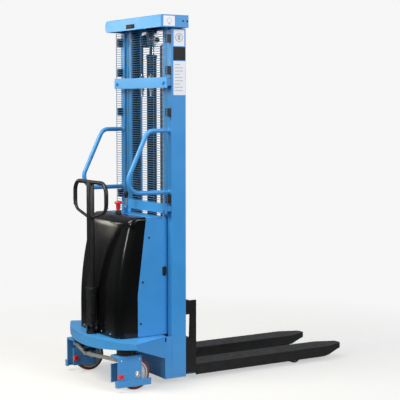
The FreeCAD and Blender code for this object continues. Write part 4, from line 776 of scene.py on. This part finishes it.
def fasteners():
    """Bolts, nuts and collars where the frame, beams, handles and casters are held."""
    beam_low, beam_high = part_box("anchor_beam")
    beam_line = (beam_low.z + beam_high.z) / 2
    guard_low, guard_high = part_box("lower_guard_beam")
    guard_line = (guard_low.z + guard_high.z) / 2
    bm = bmesh.new()
    for side in (-1, 1):
        add_bolt(bm, (side * SPACER_SIDE, beam_low.y, beam_line), (0, -1, 0), 0.015)
    add_bolt(bm, (SPACER_SIDE, guard_low.y, guard_line), (0, -1, 0), 0.013)
    make_piece("beam_bolts", bm, FINISHES["blue_paint"], "root")

    bm = bmesh.new()
    handle_low, handle_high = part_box("grab_handle_right")
    handle_side = (handle_low.x + handle_high.x) / 2
    flange = [(0, 0.0126), (0, 0.022), (0.004, 0.022), (0.005, 0.020), (0.005, 0.016), (0.009, 0.0126)]
    for side in (-1, 1):
        for rise in (handle_high.z - HANDLE_RADIUS, handle_low.z + HANDLE_RADIUS):
            add_ring(bm, flange, (side * handle_side, MAST_REAR, rise), (0, -1, 0), 32)
    make_piece("handle_flanges", bm, FINISHES["blue_paint"], "root")

    for side, name in ((1, "right"), (-1, "left")):
        centre = (low("steer_wheel_" + name) + high("steer_wheel_" + name)) / 2
        cheek = side * 0.330
        screw_rise = 0.176
        bm = bmesh.new()
        add_bolt(bm, (cheek, centre.y, centre.z), (side, 0, 0), 0.022)
        for offset in (0.012, -0.100):
            add_screw(bm, (cheek, centre.y + offset, screw_rise), (side, 0, 0), 0.005)
        add_bolt(bm, (side * 0.240, centre.y, centre.z), (-side, 0, 0), 0.018)
        make_piece("caster_bolts_" + name, bm, FINISHES["bright_steel"], "caster_" + name)

    bm = bmesh.new()
    anchor_line = (low("chain_anchors").y + high("chain_anchors").y) / 2
    nut = 0.012
    for side in (-PULLEY_SIDE, PULLEY_SIDE):
        for rise in (beam_low.z - nut, beam_high.z):
            add_lathe(bm, [(0, 0.0135), (0.010, 0.0135), (nut, 0.0115)], (side, anchor_line, rise),
                      (0, 0, 1), 6)
    make_piece("anchor_nuts", bm, FINISHES["bright_steel"], "root")

    head_side = high("mast_crosshead").x - 0.0002
    bm = bmesh.new()
    for side in (-1, 1):
        for line in (-0.380, -0.352):
            add_screw(bm, (side * head_side, line, 2.047), (side, 0, 0), 0.005)
    make_piece("head_screws", bm, FINISHES["black_plastic"], "inner_mast")

    cover = low("rear_cover")
    bm = bmesh.new()
    for side in (-1, 1):
        for across, bulge in ((0.062, 0.0048), (0.165, 0.0015)):
            add_screw(bm, (side * across, cover.y - bulge, cover.z + 0.016), (0, -1, 0), 0.006)
    make_piece("cover_foot_screws", bm, FINISHES["bright_steel"], "root")


# ---------------------------------------------------------------- plain labels

def add_label(bm, face, side, start, end, thick=0.0006):
    """A thin plate on a face square to X, from one (y, z) corner to the other."""
    near, far = sorted((face, face + side * thick))
    add_block(bm, (near, start[0], start[1]), (far, end[0], end[1]), 0.0002, 1)


def labels():
    """Blank plates in place of the stickers, with plain grey shapes and no lettering."""
    head = high("mast_crosshead").x
    mast = high("outer_mast_right").x
    rear = low("mast_crosshead").y
    groups = {
        "inner_mast": (head, [((-0.505, 2.018), (-0.432, 2.073), LABEL_WHITE)]),
        "root": (mast, [((-0.418, 1.911), (-0.349, 2.002), LABEL_WHITE),
                        ((-0.421, 1.832), (-0.342, 1.906), LABEL_BLACK),
                        ((-0.420, 1.638), (-0.342, 1.827), LABEL_WHITE)]),
    }
    for body, (face, plates) in groups.items():
        for number, (start, end, material) in enumerate(plates):
            bm = bmesh.new()
            add_label(bm, face, 1, start, end)
            make_piece("label_%s_%d" % (body, number), bm, material, body)
    bm = bmesh.new()
    ring_seat = (head + 0.0006, -0.468, 2.047)
    add_ring(bm, [(0, 0.012), (0, 0.0145), (0.0002, 0.0145), (0.0002, 0.012)], ring_seat, (1, 0, 0), 36)
    add_label(bm, head + 0.0006, 1, (-0.475, 2.026), (-0.461, 2.031), 0.0002)
    make_piece("label_marks_head", bm, LABEL_GREY, "inner_mast")
    bm = bmesh.new()
    ring_seat = (mast + 0.0006, -0.3835, 1.958)
    add_ring(bm, [(0, 0.020), (0, 0.0245), (0.0002, 0.0245), (0.0002, 0.020)], ring_seat, (1, 0, 0), 40)
    add_label(bm, mast + 0.0006, 1, (-0.392, 1.944), (-0.375, 1.972), 0.0002)
    for row in range(9):
        rise = 1.806 - row * 0.018
        length = 0.052 if row % 3 else 0.034
        add_label(bm, mast + 0.0006, 1, (-0.411, rise), (-0.411 + length, rise + 0.004), 0.0002)
    make_piece("label_marks_mast", bm, LABEL_GREY, "root")
    bm = bmesh.new()
    add_block(bm, (-0.070, rear - 0.0015, 2.020), (0.030, rear, 2.044), 0.0006)
    make_piece("head_plate", bm, LABEL_BLACK, "inner_mast")


# ---------------------------------------------------------------- studio

def studio():
    """Pale floor, soft lights and the camera."""
    scene = bpy.context.scene
    scene.view_settings.view_transform = "Standard"
    scene.view_settings.look = "None"
    world = bpy.data.worlds.new("studio")
    world.use_nodes = True
    tree = world.node_tree
    seen = tree.nodes["Background"]
    seen.inputs["Color"].default_value = (0.925, 0.925, 0.925, 1)
    glow = tree.nodes.new("ShaderNodeBackground")
    glow.inputs["Color"].default_value = (0.92, 0.96, 1.0, 1)
    sky = tree.nodes.new("ShaderNodeTexCoord")
    height = tree.nodes.new("ShaderNodeSeparateXYZ")
    tree.links.new(sky.outputs["Generated"], height.inputs["Vector"])
    tree.links.new(link_range(tree, height.outputs["Z"], -0.15, 0.25, 0.05, 0.32), glow.inputs["Strength"])
    rays = tree.nodes.new("ShaderNodeLightPath")
    choice = tree.nodes.new("ShaderNodeMixShader")
    tree.links.new(rays.outputs["Is Camera Ray"], choice.inputs["Fac"])
    tree.links.new(glow.outputs["Background"], choice.inputs[1])
    tree.links.new(seen.outputs["Background"], choice.inputs[2])
    tree.links.new(choice.outputs["Shader"], tree.nodes["World Output"].inputs["Surface"])
    scene.world = world

    bpy.ops.mesh.primitive_plane_add(size=16, location=(0, 0, 0))
    floor = bpy.context.object
    floor.name = "studio_floor"
    paint = bpy.data.materials.new("floor_paint")
    paint.use_nodes = True
    tree = paint.node_tree
    shader = tree.nodes["Principled BSDF"]
    shader.inputs["Base Color"].default_value = (0.72, 0.72, 0.72, 1)
    shader.inputs["Roughness"].default_value = 0.9
    shader.inputs["Specular IOR Level"].default_value = 0.1
    place = tree.nodes.new("ShaderNodeTexCoord")
    reach = tree.nodes.new("ShaderNodeVectorMath")
    reach.operation = "LENGTH"
    tree.links.new(place.outputs["Object"], reach.inputs[0])
    shown = link_range(tree, reach.outputs["Value"], 0.8, 2.6, 0.45, 0)
    tree.links.new(shown, shader.inputs["Alpha"])
    floor.data.materials.append(paint)

    target = Vector((0, -0.3, 1.0))
    lamps = {
        "key": ((-0.2, -3.4, 3.7), 2.0, 215, (1.0, 0.94, 0.77)),
        "side": ((6.2, 1.2, 3.6), 3.0, 330, (1.0, 1.0, 1.0)),
        "left": ((-6.0, -3.6, 2.45), 1.2, 34, (1.0, 0.95, 0.84)),
        "edge": ((1.9, -4.0, 1.7), 0.7, 32, (1.0, 0.98, 0.92)),
        "top": ((0.5, -1.0, 6.0), 2.5, 70, (1.0, 1.0, 1.0)),
    }
    for name, (place, size, power, colour) in lamps.items():
        light = bpy.data.lights.new(name, "AREA")
        light.shape = "SQUARE"
        light.size = size
        light.energy = power
        light.color = colour
        lamp = bpy.data.objects.new(name, light)
        lamp.location = place
        lamp.rotation_euler = (target - Vector(place)).to_track_quat("-Z", "Y").to_euler()
        scene.collection.objects.link(lamp)

    lens = bpy.data.cameras.new("camera")
    lens.sensor_width = 36
    lens.lens = 104.07
    lens.clip_end = 200
    camera = bpy.data.objects.new("camera", lens)
    camera.location = (5.9004, -3.6873, 1.5798)
    camera.rotation_euler = Vector((-0.8492, 0.5218, -0.0814)).to_track_quat("-Z", "Y").to_euler()
    scene.collection.objects.link(camera)
    scene.camera = camera


recess_shade_film()
wire_guard()
chains()
rear_cover_shell()
tiller()
wheels()
controls()
fasteners()
labels()
for node in sorted(frame["nodes"]):
    if not frame["nodes"][node].hide_render:
        dress(node)
studio()

bpy.context.view_layer.update()
